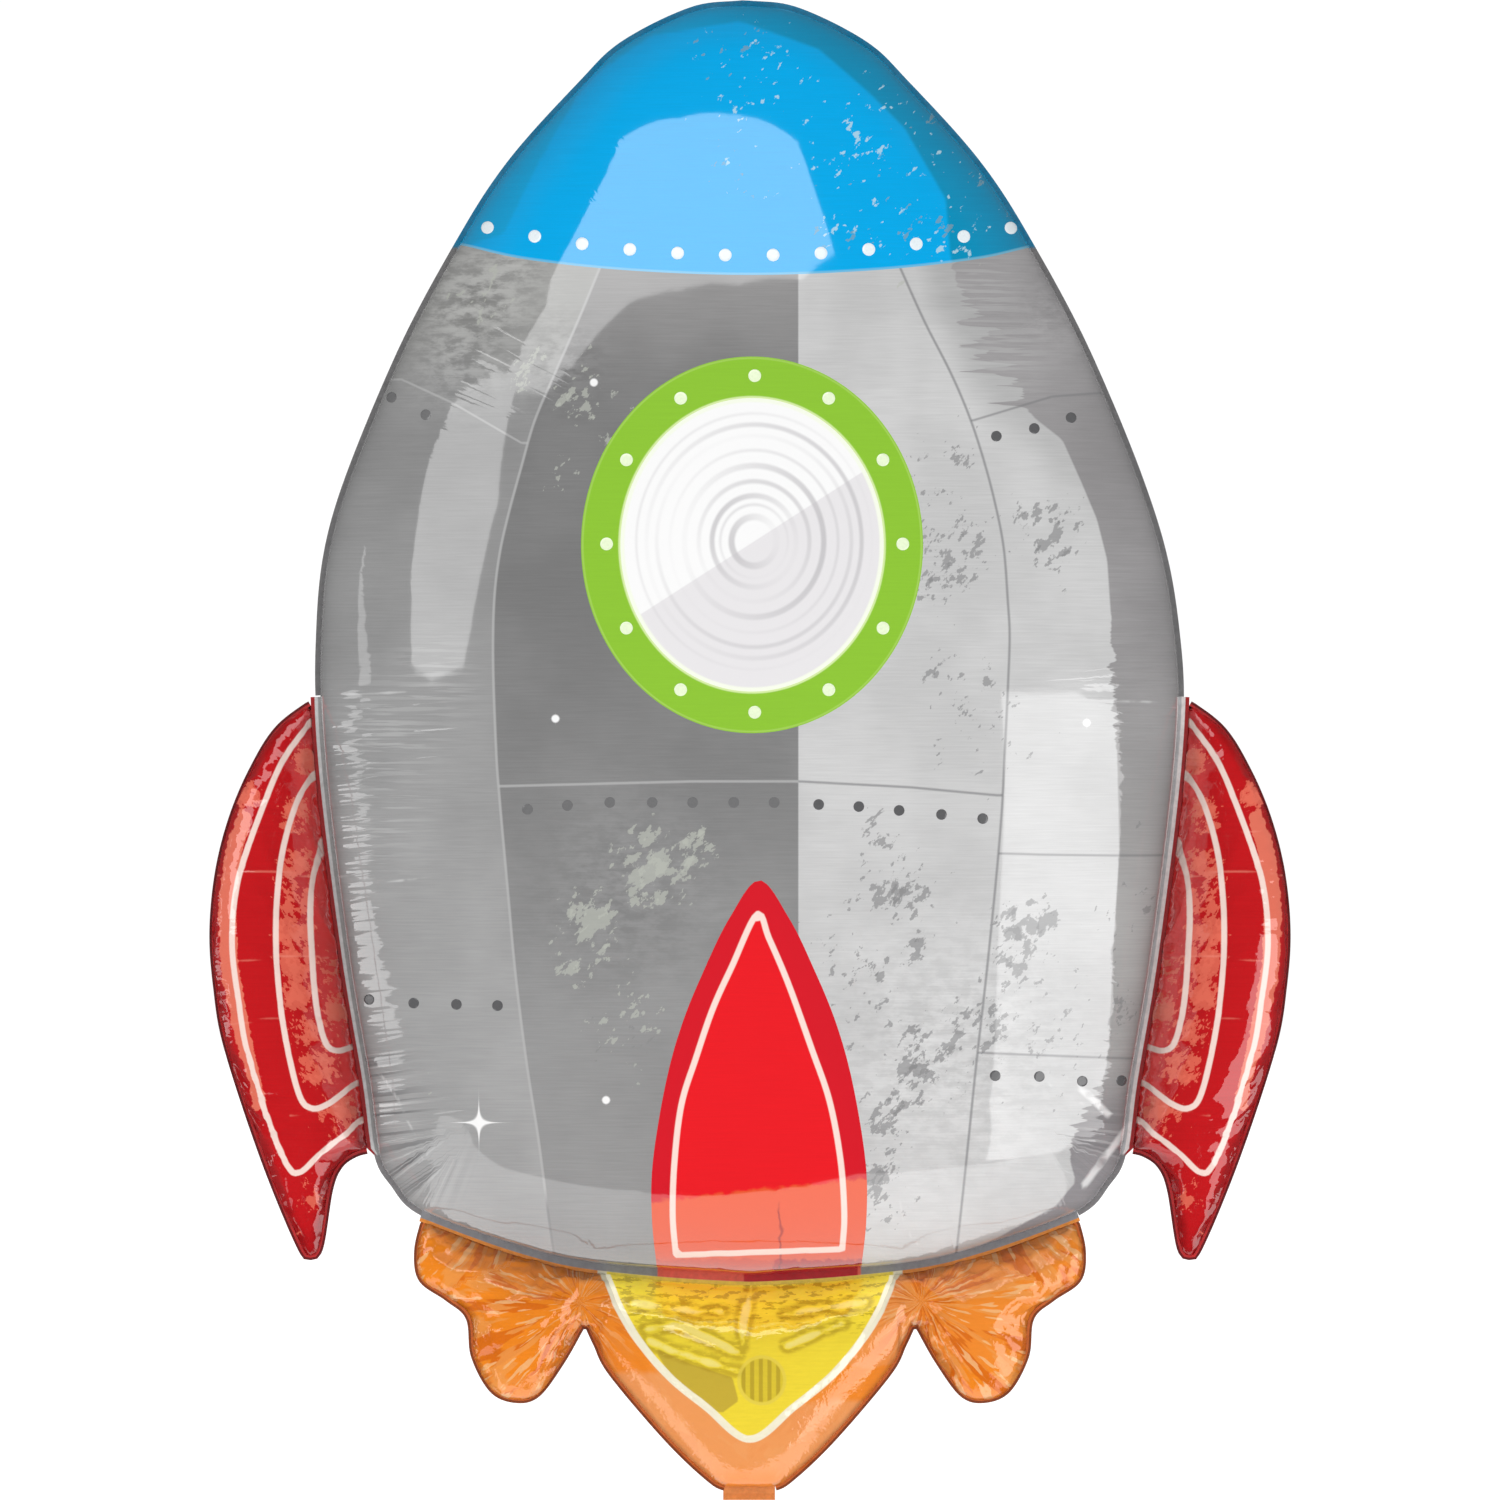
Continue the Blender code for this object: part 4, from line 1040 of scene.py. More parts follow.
def hull_film(inks):
    film = Film("printed film, silver")
    flat, across, height = film.place()
    right = film.step(across, 23.2, 24.0)
    film.color = hull_tone(film, across, height, right, inks.light_grey)
    film.dim(film.step(film.noise(flat, 0.016, 3.0), 0.35, 0.65, 0.93, 1.05))
    film.brush(0.07)
    for size, shift in ((6.5, 5.0), (3.4, 25.0)):
        film.lay(film.flecks("worn dark", size, shift) * 0.7, (140, 140, 141))
    blot = film.noise(flat * (0.65, 1.4, 1.0), 0.14, 4.0, 0.65)
    film.dim(1.0 + film.step(blot, 0.37, 0.62, -0.32, 0.32) * film.attribute("mottle"))
    for size, shift in ((8.0, 70.0), (4.0, 95.0)):
        film.lay(film.flecks("worn light", size, shift) * 0.65, (188, 191, 182))
    # painted highlights: fine light combed streaks where the film crinkles
    combed = film.step(film.effect(brushed_streaks, Fineness=0.42, Stretch=22.0), 0.0, 0.3)
    film.lay(combed * film.attribute("combed") * 0.5, 196)
    # painted highlights and shade: dark and light streaks across pinched creases
    pinch = film.noise("foot", 0.42, 1.0)
    for first, last, color in ((0.44, 0.40, (96, 96, 98)), (0.56, 0.60, 206)):
        film.lay(film.step(pinch, first, last) * film.attribute("pinched light and shade"), color)
    # painted highlights: light lines along the hull's creases
    broken = film.step(film.noise(flat, 0.12), 0.35, 0.55)
    film.lay(film.line("crease", 1.2, 0.6) * broken * 0.6, 224)
    film.lay(film.line("pale crease", 3.2, 1.0) * 0.85, 242)
    between = film.step("long", -0.2, 0.2)
    line_color = film.mix(right.larger(film.step(height, 156.0, 142.0)), 190, (132, 132, 134))
    film.lay(film.line("long", 1.2, 0.45) * 0.7, line_color)
    film.lay(film.line("cross", 1.2, 0.45) * between * 0.7, line_color)
    film.lay(film.line("side", 1.1, 0.45) * (1.0 - between) * 0.65, line_color)
    # painted glints, shaped as small stars
    for x, z, reach in GLINT_STARS:
        film.lay(film.effect(glint_star, Middle=(x, z, 0.0), Reach=reach), inks.white)
    creases = film.creases(pucker=0.12, reach=95.0, crinkle=0.006, size=35.0)
    return film.finish(roughness=0.05, metallic=0.02, height=creases)


def ring_film(inks):
    film = Film("printed film, green", inks.green)
    film.brush(0.03)
    film.lay(film.line("pane", 2.0, 0.4) * 0.9, (225, 245, 175))
    film.lay(film.line(film.attribute("ring") - 0.8, 0.7, 0.5) * 0.5, (190, 225, 120))
    creases = film.creases(pucker=0.0, reach=80.0, crinkle=0.006, size=30.0)
    return film.finish(roughness=0.12, metallic=0.0, height=creases)


def pane_film(inks):
    film = Film("printed film, white pane", inks.white)
    away = film.place()[0] - (2.0, 470.8, 0.0)
    slope = film.math("DOT_PRODUCT", away, (-0.54, 0.84, 0.0), output=1)
    film.lay(film.step(slope, 0.5, -0.5), (236, 234, 236))
    away = away * (1.0, 0.92, 0.0)
    radius = film.math("LENGTH", away, output=1)
    turn = film.math("ARCTAN2", film.split(away, 1), film.split(away, 0))
    lines = 0.0
    for size, width, share, darkest in PANE_RINGS:
        level = 0.55 + film.math("COSINE", turn - math.radians(darkest)) * 0.45
        lines = (film.line(radius - size, width, 0.8) * (level * share)).larger(lines)
    film.lay(lines, (196, 194, 197))
    film.lay(film.line("pane", 4.0, 0.6), (250, 255, 238))
    creases = film.creases(pucker=0.0, reach=80.0, crinkle=0.006, size=30.0)
    return film.finish(roughness=0.12, metallic=0.0, height=creases)


def centre_fin_film(inks):
    film = Film("printed film, red centre fin", inks.red)
    flat, across, height = film.place()
    film.brush(0.03)
    film.lay(film.step("fin line", 1.0, -1.0, 0.0, 0.8), (212, 26, 42))
    height = height + film.noise(flat, 0.2) * 6.0
    across = across + film.noise(flat, 0.08) * 8.0
    # painted reflection: a salmon band across the fin's foot, its edge rising a little to the right
    film.lay(film.step(height - across * 0.11, 157.0, 154.5, 0.0, 0.9), (238, 96, 50))
    foot = film.step(height, 122.5, 121.0) * film.step(across, 14.0, 16.0, 0.25, 0.85)
    film.lay(foot, (186, 14, 32))
    # painted shade: a dark line where a crease runs up the fin's foot
    crease = film.line(across - 19.0, 1.0, 0.5) * film.step(height, 152.0, 144.0, 0.0, 0.7)
    film.lay(crease, (150, 12, 26))
    film.lay(film.line("fin line", 2.9, 0.35), inks.stripe)
    creases = film.creases(pucker=0.10, reach=70.0, crinkle=0.006, size=30.0)
    return film.finish(roughness=0.05, metallic=0.0, height=creases)


def side_fin_film(inks):
    film = Film("printed film, red side fin", inks.fin_red)
    film.brush(0.06)
    # painted light: brighter red along the fin's root, against the shade from the hull
    inner = film.step("deep", 12.0, 1.0) * film.step("outer", 12.0, 20.0)
    film.lay(inner * 0.8, (250, 62, 60))
    # painted shade: darker towards the fin's outer rim
    film.dim(film.step("outer", 0.5, 6.0, 0.6, 1.0))
    # painted highlight: a ragged salmon band down the fin's outer side
    ragged = film.attribute("highlight band") + film.noise("flat", 0.25, 3.0, 0.6) * 4.0
    film.lay(film.step(ragged, 1.6, 2.2) * 0.85, (240, 128, 104))
    # painted highlights: salmon flecks over the fin's crinkled film
    for size, shift in ((3.2, 20.0), (1.9, 60.0)):
        film.lay(film.flecks("worn light", size, shift) * 0.8, (242, 116, 94))
    # painted highlights: pale lines along the fin's creases
    film.lay(film.line("crease", 1.1, 0.5) * 0.5, (250, 150, 130))
    film.lay(film.line("stripes", 2.8, 0.35), inks.stripe)
    creases = film.creases(pucker=0.10, reach=40.0, crinkle=0.05, size=14.0)
    return film.finish(roughness=0.05, metallic=0.02, height=creases)


def flame_film(inks):
    film = Film("printed film, orange", inks.orange)
    film.brush(0.05, 0.8, 8.0)
    flat, across, height = film.place()
    height = height + film.noise(flat, 0.06) * 10.0
    # painted highlight: lighter peach low on the flames, weaker at the tip and on the lobes
    right = film.step(across, -1.0, 1.0)
    low = film.step(height + right * 14.0, 66.0, 70.0, 0.9, 0.1)
    low = low.larger(right * film.step(height, 70.0, 73.0, 0.0, 0.55))
    low = low * film.step(height, 14.0, 24.0, 0.35, 1.0) * film.step("lobe", -4.0, 4.0, 1.0, 0.3)
    film.lay(low, (250, 166, 100))
    # painted highlights and shade: dark and light streaks that fan over the crumpled flames
    for level, shift, fineness, share, color in (
            (0.53, 3.0, 1.0, 0.75, (224, 106, 14)), (0.54, 31.0, 1.2, 0.7, (250, 164, 82)),
            (0.58, 50.0, 2.0, 0.75, (255, 198, 136))):
        streak = film.effect(gathered_light_and_shade, Level=level, Blur=0.04, Shift=shift, Fineness=fineness)
        film.lay(streak * film.attribute("gathered") * share, color)
    # painted shade: the orange darkens towards the rim
    film.dim(film.step("deep", 0.3, 2.6, 0.72, 1.0))
    film.lay(film.line("cream line", 4.2, 0.35), inks.cream)
    creases = film.creases(pucker=0.08, reach=25.0, crinkle=0.10, size=7.0)
    return film.finish(roughness=0.08, metallic=0.06, height=creases)


def core_film(inks):
    film = Film("printed film, yellow", inks.yellow)
    film.brush(0.05, 0.8, 8.0)
    flat, across, height = film.place()
    film.lay(film.step("olive", -0.5, 0.5) * 0.85, (200, 172, 60))
    # painted shade: dark dashes in rows near the top of the core, where it crinkles
    rows = film.noise(flat * (0.14, 0.42, 1.0), 1.0, 3.0, 0.6)
    film.lay(film.step(rows, 0.53, 0.58, 0.0, 0.6) * film.step(height, 78.0, 94.0), (160, 134, 28))
    uneven = film.step(film.noise(flat, 0.06, 1.0), 0.35, 0.65, -0.8, 1.1)
    fold = film.attribute("fold") + uneven
    # painted highlights on the ridges of the folds, and painted shade beside them
    film.lay(film.step(fold, 0.4, 1.8, 0.8, 0.0), (255, 240, 140))
    shade = film.step(fold, 1.4, 2.4) * film.step(fold, 3.0, 5.5, 0.6, 0.0)
    film.lay(shade * film.step(rows, 0.36, 0.5, 0.3, 1.0), (180, 150, 36))
    bars = film.step(film.math("SINE", across * 1.5), -0.4, 0.6, 0.35, 0.8)
    film.lay(film.step("valve", 0.2, 1.2) * bars, (182, 156, 44))
    film.lay(film.line("valve", 1.6, 0.5) * 0.7, (236, 214, 84))
    film.lay(film.line("cream line", 4.2, 0.35), inks.cream)
    # painted light: the top of the core glows, against the shade under the hull
    glow = film.mix(1.0, film.color, film.step(height, 82.0, 104.0), "MULTIPLY")
    film.put(film.shader, {"Emission Color": glow, "Emission Strength": CORE_PAINTED_GLOW})
    creases = film.creases(pucker=0.08, reach=25.0, crinkle=0.06, size=9.0)
    return film.finish(roughness=0.08, metallic=0.05, height=creases)


def weld_film(name, bands, below=None, level=0.0, patches=()):
    """Flat welded film with a little grain, in bands of colour outwards from the rim.

    Each patch has a middle and a half width in millimetres, the share of the weld's width
    where it starts and ends, and its colour.
    """
    film = Film(name, bands[0][1])
    place = film.add("ShaderNodeTexCoord", output="Object")
    for start, color in bands[1:]:
        film.lay(film.step("outward", start - BAND_BLUR, start + BAND_BLUR), color)
    if below:
        film.lay(film.step(film.split(place, 2), level + MM, level - MM), below)
    for middle, half, start, end, color in patches:
        away = abs(film.split(place, 0) - middle * MM)
        within = film.step(away, (half + 0.5) * MM, (half - 0.5) * MM)
        span = (film.step("outward", start - BAND_BLUR, start + BAND_BLUR)
                * film.step("outward", end + BAND_BLUR, end - BAND_BLUR))
        film.lay(within * span, color)
    grain = film.noise(place, 350.0, 3.0, 0.6)
    film.dim(film.step(grain, 0.3, 0.7, 0.86, 1.08, "LINEAR"))
    return film.finish(roughness=0.22, height=grain, strength=0.3)


def ink_film(name, color):
    """A printed dot: its colour, a little uneven, with a soft sheen."""
    film = Film(name, color)
    grain = film.noise(film.add("ShaderNodeTexCoord", output="Object"), 900.0)
    film.dim(film.step(grain, 0.3, 0.7, 0.95, 1.03, "LINEAR"))
    return film.finish(roughness=0.25)


def signed_distance(points, loop):
    """Distance to a closed loop, positive inside."""
    loop = dense_loop(loop)
    gap = nearest_on(points, loop)[1]
    return np.where(inside(points, loop), gap, -gap)


def lines_distance(points, lines):
    """Distance to the nearest of some open lines, whose sign changes at each line."""
    found = [nearest_on(points, smooth_line(line), closed=False) for line in lines]
    return np.min([f[1] for f in found], axis=0) * np.prod([f[2] for f in found], axis=0)


def levels_distance(points, lines):
    """Height over the nearest of some level lines, whose sign changes at each line."""
    over = np.array([points[:, 1] - np.interp(points[:, 0], *zip(*sorted(line))) for line in lines])
    return np.abs(over).min(axis=0) * np.where(over > 0, 1, -1).prod(axis=0)


def lines_gap(points, lines):
    """Distance to the nearest of some open lines, ends included."""
    return nearest_dots(points, np.vstack([evenly(smooth_line(line), 0.5) for line in lines]))[1]


def oval_distance(points, centre, radii):
    """Distance to an oval along the line from its centre, positive inside."""
    away = points - centre
    share = np.hypot(away[:, 0] / radii[0], away[:, 1] / radii[1])
    size = np.linalg.norm(away, axis=1)
    return np.where(share > 1e-6, size / np.maximum(share, 1e-6) - size, min(radii))


def print_hull(hull):
    """Give the hull chamber the distances that its print is drawn from."""
    values, flat = hull.values, hull.values["flat"]
    nose = whole_line(NOSE_BORDER)[::-1]
    values["border"] = flat[:, 1] - np.interp(flat[:, 0], *nose.T)
    values["ring"] = oval_distance(flat, PORTHOLE, PORTHOLE_OUTER)
    values["pane"] = oval_distance(flat, PORTHOLE, PORTHOLE_INNER)
    fin = whole_line(CENTRE_FIN[::-1]) + (CENTRE_FIN_X, 0)
    foot = [(fin[-1, 0], CENTRE_FIN_FOOT), (fin[0, 0], CENTRE_FIN_FOOT)]
    values["centre fin"] = signed_distance(flat, np.vstack([fin, foot]))
    values["fin line"] = signed_distance(flat, smooth_line(CENTRE_FIN_LINE))
    values["long"] = -lines_distance(flat, (LEFT_PANEL_LINE, RIGHT_PANEL_LINE))
    values["cross"] = levels_distance(flat, (CROSS_LINE,))
    values["side"] = np.where(flat[:, 0] > 0, levels_distance(flat, RIGHT_SIDE_LINES),
                              levels_distance(flat, LEFT_SIDE_LINES))
    values["lit"] = signed_distance(flat, LIT_EDGE)
    for name, table in (("worn dark", DARK_WEAR), ("worn light", FLECK_SPOTS), ("mottle", MOTTLE),
                        ("combed", COMBED_HIGHLIGHTS), ("pinched light and shade", PINCHED_LIGHT_AND_SHADE)):
        values[name] = spots(flat, table)
    values["crease"] = lines_gap(flat, HULL_CREASE_HIGHLIGHTS)
    values["pale crease"] = lines_gap(flat, PALE_CREASE_HIGHLIGHTS)


def print_fin(fin):
    values, flat = fin.values, fin.values["flat"]
    values["stripes"] = lines_distance(flat, FIN_STRIPES)
    values["worn light"] = spots(flat, FIN_HIGHLIGHT_SPOTS)
    values["outer"] = nearest_on(flat, smooth_line(SIDE_FIN), closed=False)[1] - SEAM
    values["highlight band"] = signed_distance(flat, FIN_HIGHLIGHT_BAND)
    values["crease"] = lines_gap(flat, FIN_CREASE_HIGHLIGHTS)


def print_flame(flame):
    values, flat = flame.values, flame.values["flat"]
    gap, side = nearest_on(flat, whole_line(FLAME_CORE), closed=False)[1:]
    values["core"] = -side * gap
    values["cream line"] = nearest_on(flat, whole_line(CREAM_LINE), closed=False)[1]
    values["olive"] = signed_distance(flat, OLIVE_PATCH)
    values["valve"] = oval_distance(flat, *VALVE_OVAL)
    values["fold"] = lines_gap(flat, CORE_FOLDS)
    lobe = smooth_line(LOBE_BORDER)
    values["lobe"] = np.abs(flat[:, 0]) - np.interp(flat[:, 1], lobe[:, 1], lobe[:, 0])
    notch = np.hypot(np.abs(flat[:, 0]) - FLAME_GATHERS[0][0], flat[:, 1] - FLAME_GATHERS[0][1])
    near = np.maximum(np.exp(-(notch / 26) ** 2), 0.45 * (values["core"] > 0))
    share = np.clip((values["lobe"] + 4) / 8, 0, 1)
    values["gathered"] = np.maximum(share, np.maximum(near, 0.12))


def printed_dots():
    """Geometry Nodes: round printed dots, laid on a film that they are shot at along Y."""
    web, (places, film, radius, thickness, corners, ink) = new_group("printed dots", "Geometry", {
        "Places": "Geometry", "Film": "Object", "Radius": 0.0033, "Thickness": 0.0002,
        "Corners": 28, "Ink": "Material"}, "GeometryNodeTree")
    disc = web.add("GeometryNodeMeshCone", {
        "Vertices": corners, "Side Segments": 1, "Fill Segments": 3, "Radius Top": radius * 0.94,
        "Radius Bottom": radius, "Depth": thickness})
    discs = web.add("GeometryNodeInstanceOnPoints", {
        "Points": places, "Instance": disc, "Rotation": (math.radians(90), 0.0, 0.0)})
    real = web.add("GeometryNodeRealizeInstances", {0: discs})
    place = web.add("GeometryNodeInputPosition")
    shot = web.add("GeometryNodeRaycast", {
        "Target Geometry": web.add("GeometryNodeObjectInfo", {"Object": film}, "Geometry"),
        "Source Position": web.vector(web.split(place, 0), -1.0, web.split(place, 2)),
        "Ray Direction": (0.0, 1.0, 0.0), "Ray Length": 2.0}, "Hit Position")
    lift = web.split(place, 1) * -1.0 - thickness * 0.4
    spot = shot + web.scaled(shot.other("Hit Normal"), lift)
    laid = web.add("GeometryNodeSetPosition", {"Geometry": real, "Position": spot})
    return web.end(web.add("GeometryNodeSetMaterial", {"Geometry": laid, "Material": ink}))


def welded_edge():
    """Geometry Nodes: a flat welded edge along a path, with ruffles that grow outwards."""
    web, (path, rows, thickness, ruffle, ruffle_spacing, rib, rib_spacing, film) = new_group(
        "welded edge", "Geometry", {
            "Path": "Geometry", "Rows": 4, "Thickness": 0.0006, "Ruffle": 0.0012,
            "Ruffle Spacing": 0.012, "Rib": 0.00012, "Rib Spacing": 0.0018, "Film": "Material"},
        "GeometryNodeTree")

    def named(name, kind):
        return web.add("GeometryNodeInputNamedAttribute", {"Name": name}, "Attribute", data_type=kind)

    def held(geometry, name, value, kind):
        """Keep a value on the points of a curve, and return the curve and the value on it."""
        kept = web.add("GeometryNodeStoreNamedAttribute", {
            "Geometry": geometry, "Name": name, "Value": value}, data_type=kind, domain="POINT")
        return kept, named(name, kind)

    curve = web.add("GeometryNodeMeshToCurve", {"Mesh": path})
    along = web.add("GeometryNodeSplineParameter", output="Length")
    curve, spot = held(curve, "held 0", web.add("GeometryNodeInputPosition"), "FLOAT_VECTOR")
    curve, across = held(curve, "held 1", named("across", "FLOAT_VECTOR"), "FLOAT_VECTOR")
    curve, along = held(curve, "held 2", along, "FLOAT")
    bar = web.add("GeometryNodeCurvePrimitiveLine", {"Start": (0, 0, 0), "End": (0.001, 0, 0)})
    bar = web.add("GeometryNodeResampleCurve", {"Curve": bar, "Count": rows})
    factor = web.add("GeometryNodeSplineParameter", output="Factor")
    bar, share = held(bar, "outward", factor, "FLOAT")
    strip = web.add("GeometryNodeCurveToMesh", {"Curve": curve, "Profile Curve": bar})
    spot = spot + web.scaled(across, share)
    wave = (web.noise(spot, 1.0 / ruffle_spacing, 1.0) - 0.5) * 2.0 * ruffle * share
    ribs = web.math("SINE", along * (2 * math.pi) / rib_spacing) * rib
    base = spot + web.vector(y=wave + ribs) - web.vector(y=thickness * 0.5)
    placed = web.add("GeometryNodeSetPosition", {"Geometry": strip, "Position": base})
    pulled = web.add("GeometryNodeExtrudeMesh", {
        "Mesh": placed, "Offset": web.vector(y=thickness), "Offset Scale": 1.0, "Individual": False})
    turned = web.add("GeometryNodeFlipFaces", {"Mesh": placed})
    joined = web.add("GeometryNodeJoinGeometry", {0: pulled})
    web.put(joined.socket.node, {0: turned})
    merged = web.add("GeometryNodeMergeByDistance", {"Geometry": joined, "Distance": 1e-6})
    real = web.add("GeometryNodeRealizeInstances", {0: merged})
    return web.end(web.add("GeometryNodeSetMaterial", {"Geometry": real, "Material": film}))


def grown_mesh(name, mesh, tree, **inputs):
    """Plain mesh of what a Geometry Nodes tree makes from a mesh."""
    obj = link(name, mesh)
    modifier = obj.modifiers.new(name, "NODES")
    modifier.node_group = tree
    keys = {item.name: item.identifier for item in tree.interface.items_tree
            if item.in_out == "INPUT"}
    for label, value in inputs.items():
        modifier[keys[label]] = value
    graph = bpy.context.evaluated_depsgraph_get()
    grown = bpy.data.meshes.new_from_object(obj.evaluated_get(graph))
    obj.modifiers.remove(modifier)
    bpy.data.objects.remove(obj, do_unlink=True)
    for attribute in [a.name for a in grown.attributes if a.name.startswith("held")]:
        grown.attributes.remove(grown.attributes[attribute])
    if not len(grown.polygons):
        raise RuntimeError(f"{name} came out empty")
    grown.name = name
    form = bmesh.new()
    form.from_mesh(grown)
    bmesh.ops.recalc_face_normals(form, faces=form.faces)
    form.to_mesh(grown)
    form.free()
    grown.shade_smooth()
    grown.set_sharp_from_angle(angle=math.radians(EDGE_SHARPNESS))
    return grown


def path_mesh(name, inner, outer):
    """A line of points in the seam plane, each with the way across to the outer line."""
    points = [(x * MM, 0.0, z * MM) for x, z in inner]
    mesh = new_mesh(name, points, [(i, i + 1) for i in range(len(points) - 1)])
    across = (outer - inner) * MM
    store(mesh, "across", np.stack([across[:, 0], np.zeros(len(points)), across[:, 1]], axis=1))
    return mesh


def setting(name, description, default, **limits):
    return bpy.props.FloatProperty(name=name, description=description, default=default, **limits)


def size_setting(name, description, default, **limits):
    return setting(name, description, default, subtype="DISTANCE", unit="LENGTH", **limits)


def ink_setting(name, description, color):
    return bpy.props.FloatVectorProperty(name=name, description=description, subtype="COLOR", size=4,
                                         min=0.0, max=1.0, default=linear(color))


class BalloonFilm(bpy.types.PropertyGroup):
    hull_facet: setting("Hull facet", "Size of the facets on the hull, in millimetres",
        2.8, min=2.0, max=20.0)
    fin_facet: setting("Fin facet", "Size of the facets on the side fins, in millimetres",
        2.0, min=1.2, max=20.0)
    flame_facet: setting("Flame facet", "Size of the facets on the flame tail, in millimetres",
        1.6, min=1.2, max=20.0)
    wall: setting("Film wall", "Thickness of the film's shell, in millimetres",
        0.4, min=0.1, max=2.0)
    pucker: setting("Pucker depth", "Depth of the creases along the hull's welds, in millimetres",
        0.9, min=0.0, max=3.0)
    spare_film: setting("Spare film", "How much longer the flame tail's film is than the gas needs",
        0.06, min=0.0, max=0.2, subtype="FACTOR")
    edge_thickness: size_setting("Edge thickness", "Thickness of the flat welded edges",
        0.0006, min=0.0002, max=0.002)


class BalloonPrint(bpy.types.PropertyGroup):
    dot_radius: size_setting("Dot radius", "Radius of the printed rivet dots",
        0.0032, min=0.001, max=0.01)
    hull_dot_radius: size_setting("Hull dot radius", "Radius of the dark rivet dots on the hull",
        0.0027, min=0.001, max=0.01)
    blue: ink_setting("Blue", "Ink of the nose", (0, 175, 241))
    # painted shade: the teal of the band round the nose
    teal: ink_setting("Teal", "Shaded band round the nose", (2, 150, 196))
    light_grey: ink_setting("Light grey", "Plates on the lit side of the hull", (208, 208, 208))
    green: ink_setting("Green", "Porthole ring", (145, 202, 52))
    white: ink_setting("White", "Porthole pane", (253, 253, 253))
    red: ink_setting("Red", "Centre fin", (238, 28, 37))
    fin_red: ink_setting("Fin red", "Side fins", (200, 22, 28))
    stripe: ink_setting("Stripe", "Outlines on the fins", (254, 226, 216))
    orange: ink_setting("Orange", "Outer flames", (252, 142, 26))
    yellow: ink_setting("Yellow", "Core of the flames", (250, 226, 60))
    cream: ink_setting("Cream", "Outline of the core", (255, 250, 222))


class BalloonStage(bpy.types.PropertyGroup):
    floor_height: size_setting("Floor height", "Height of the floor under the floating balloon",
        -0.05, max=0.0)
    camera_distance: setting("Camera distance", "Distance from the camera to the seam plane",
        16.4, min=2.0, subtype="DISTANCE_CAMERA", unit="LENGTH")
    softbox: setting("Softbox brightness", "Brightness of the softboxes in reflections",
        1.85, min=0.0)
    frame_height: size_setting("Framed height", "Height of what the picture shows at the balloon",
        0.738, min=0.1)


# the chambers once blown up, which later operators need
chambers = {}


def add_film(chamber, chosen, node, material, mirror_x=False, in_mirror=True):
    """Put the front and back sheet of one field of film in place of the model's nodes.

    The hull of the photographed balloon shows no mirror image of its fins and flames, so
    in_mirror can leave a field out of reflections.
    """
    wall = bpy.context.scene.balloon_film.wall
    for side, mirror_y in (("front", False), ("back", True)):
        name = f"{node}_{side}"
        mesh = film_mesh(f"film_{name}", chamber, chosen, wall, mirror_x, mirror_y)
        obj = add_piece(f"film_{name}", mesh, material, name)
        obj.visible_glossy = in_mirror


class BALLOON_OT_hull(bpy.types.Operator):
    """Blow up the hull chamber and add its nose, hull, porthole and centre fin prints"""
    bl_idname = "balloon.hull"
    bl_label = "Nose and hull"

    def execute(self, context):
        settings, inks = context.scene.balloon_film, context.scene.balloon_print
        hull = Chamber(leaned(hull_loop()), settings.hull_facet)
        hull.add_puckers(settings.pucker, spacing=9.0, reach=75.0, base=0.35, seed=3.0,
                         table=HULL_PUCKERS)
        print_hull(hull)
        for name in ("border", "ring", "pane", "centre fin"):
            hull.cut(name)
        nose, ring = hull.where("border"), hull.where("ring")
        pane, fin = hull.where("pane"), hull.where("centre fin")
        add_film(hull, nose, "nose", nose_film(inks))
        add_film(hull, ~nose & ~ring & ~fin, "hull", hull_film(inks))
        add_film(hull, ring & ~pane, "porthole_ring", ring_film(inks))
        add_film(hull, pane, "porthole_pane", pane_film(inks))
        add_film(hull, fin, "centre_fin", centre_fin_film(inks))
        chambers["hull"] = hull
        return {"FINISHED"}


class BALLOON_OT_side_fins(bpy.types.Operator):
    """Blow up the two side fin chambers with their pale stripes"""
    bl_idname = "balloon.side_fins"
    bl_label = "Side fins"

    def execute(self, context):
        fin = Chamber(fin_loop(), context.scene.balloon_film.fin_facet)
        fin.crumple(excess=0.03, cap=2.0)
        fin.add_puckers(0.7, spacing=7.0, reach=24.0, base=0.7, seed=5.0)
        print_fin(fin)
        material = side_fin_film(context.scene.balloon_print)
        every = np.ones(len(fin.facets), dtype=bool)
        add_film(fin, every, "fin_right", material, in_mirror=False)
        add_film(fin, every, "fin_left", material, mirror_x=True, in_mirror=False)
        chambers["fin"] = fin
        return {"FINISHED"}


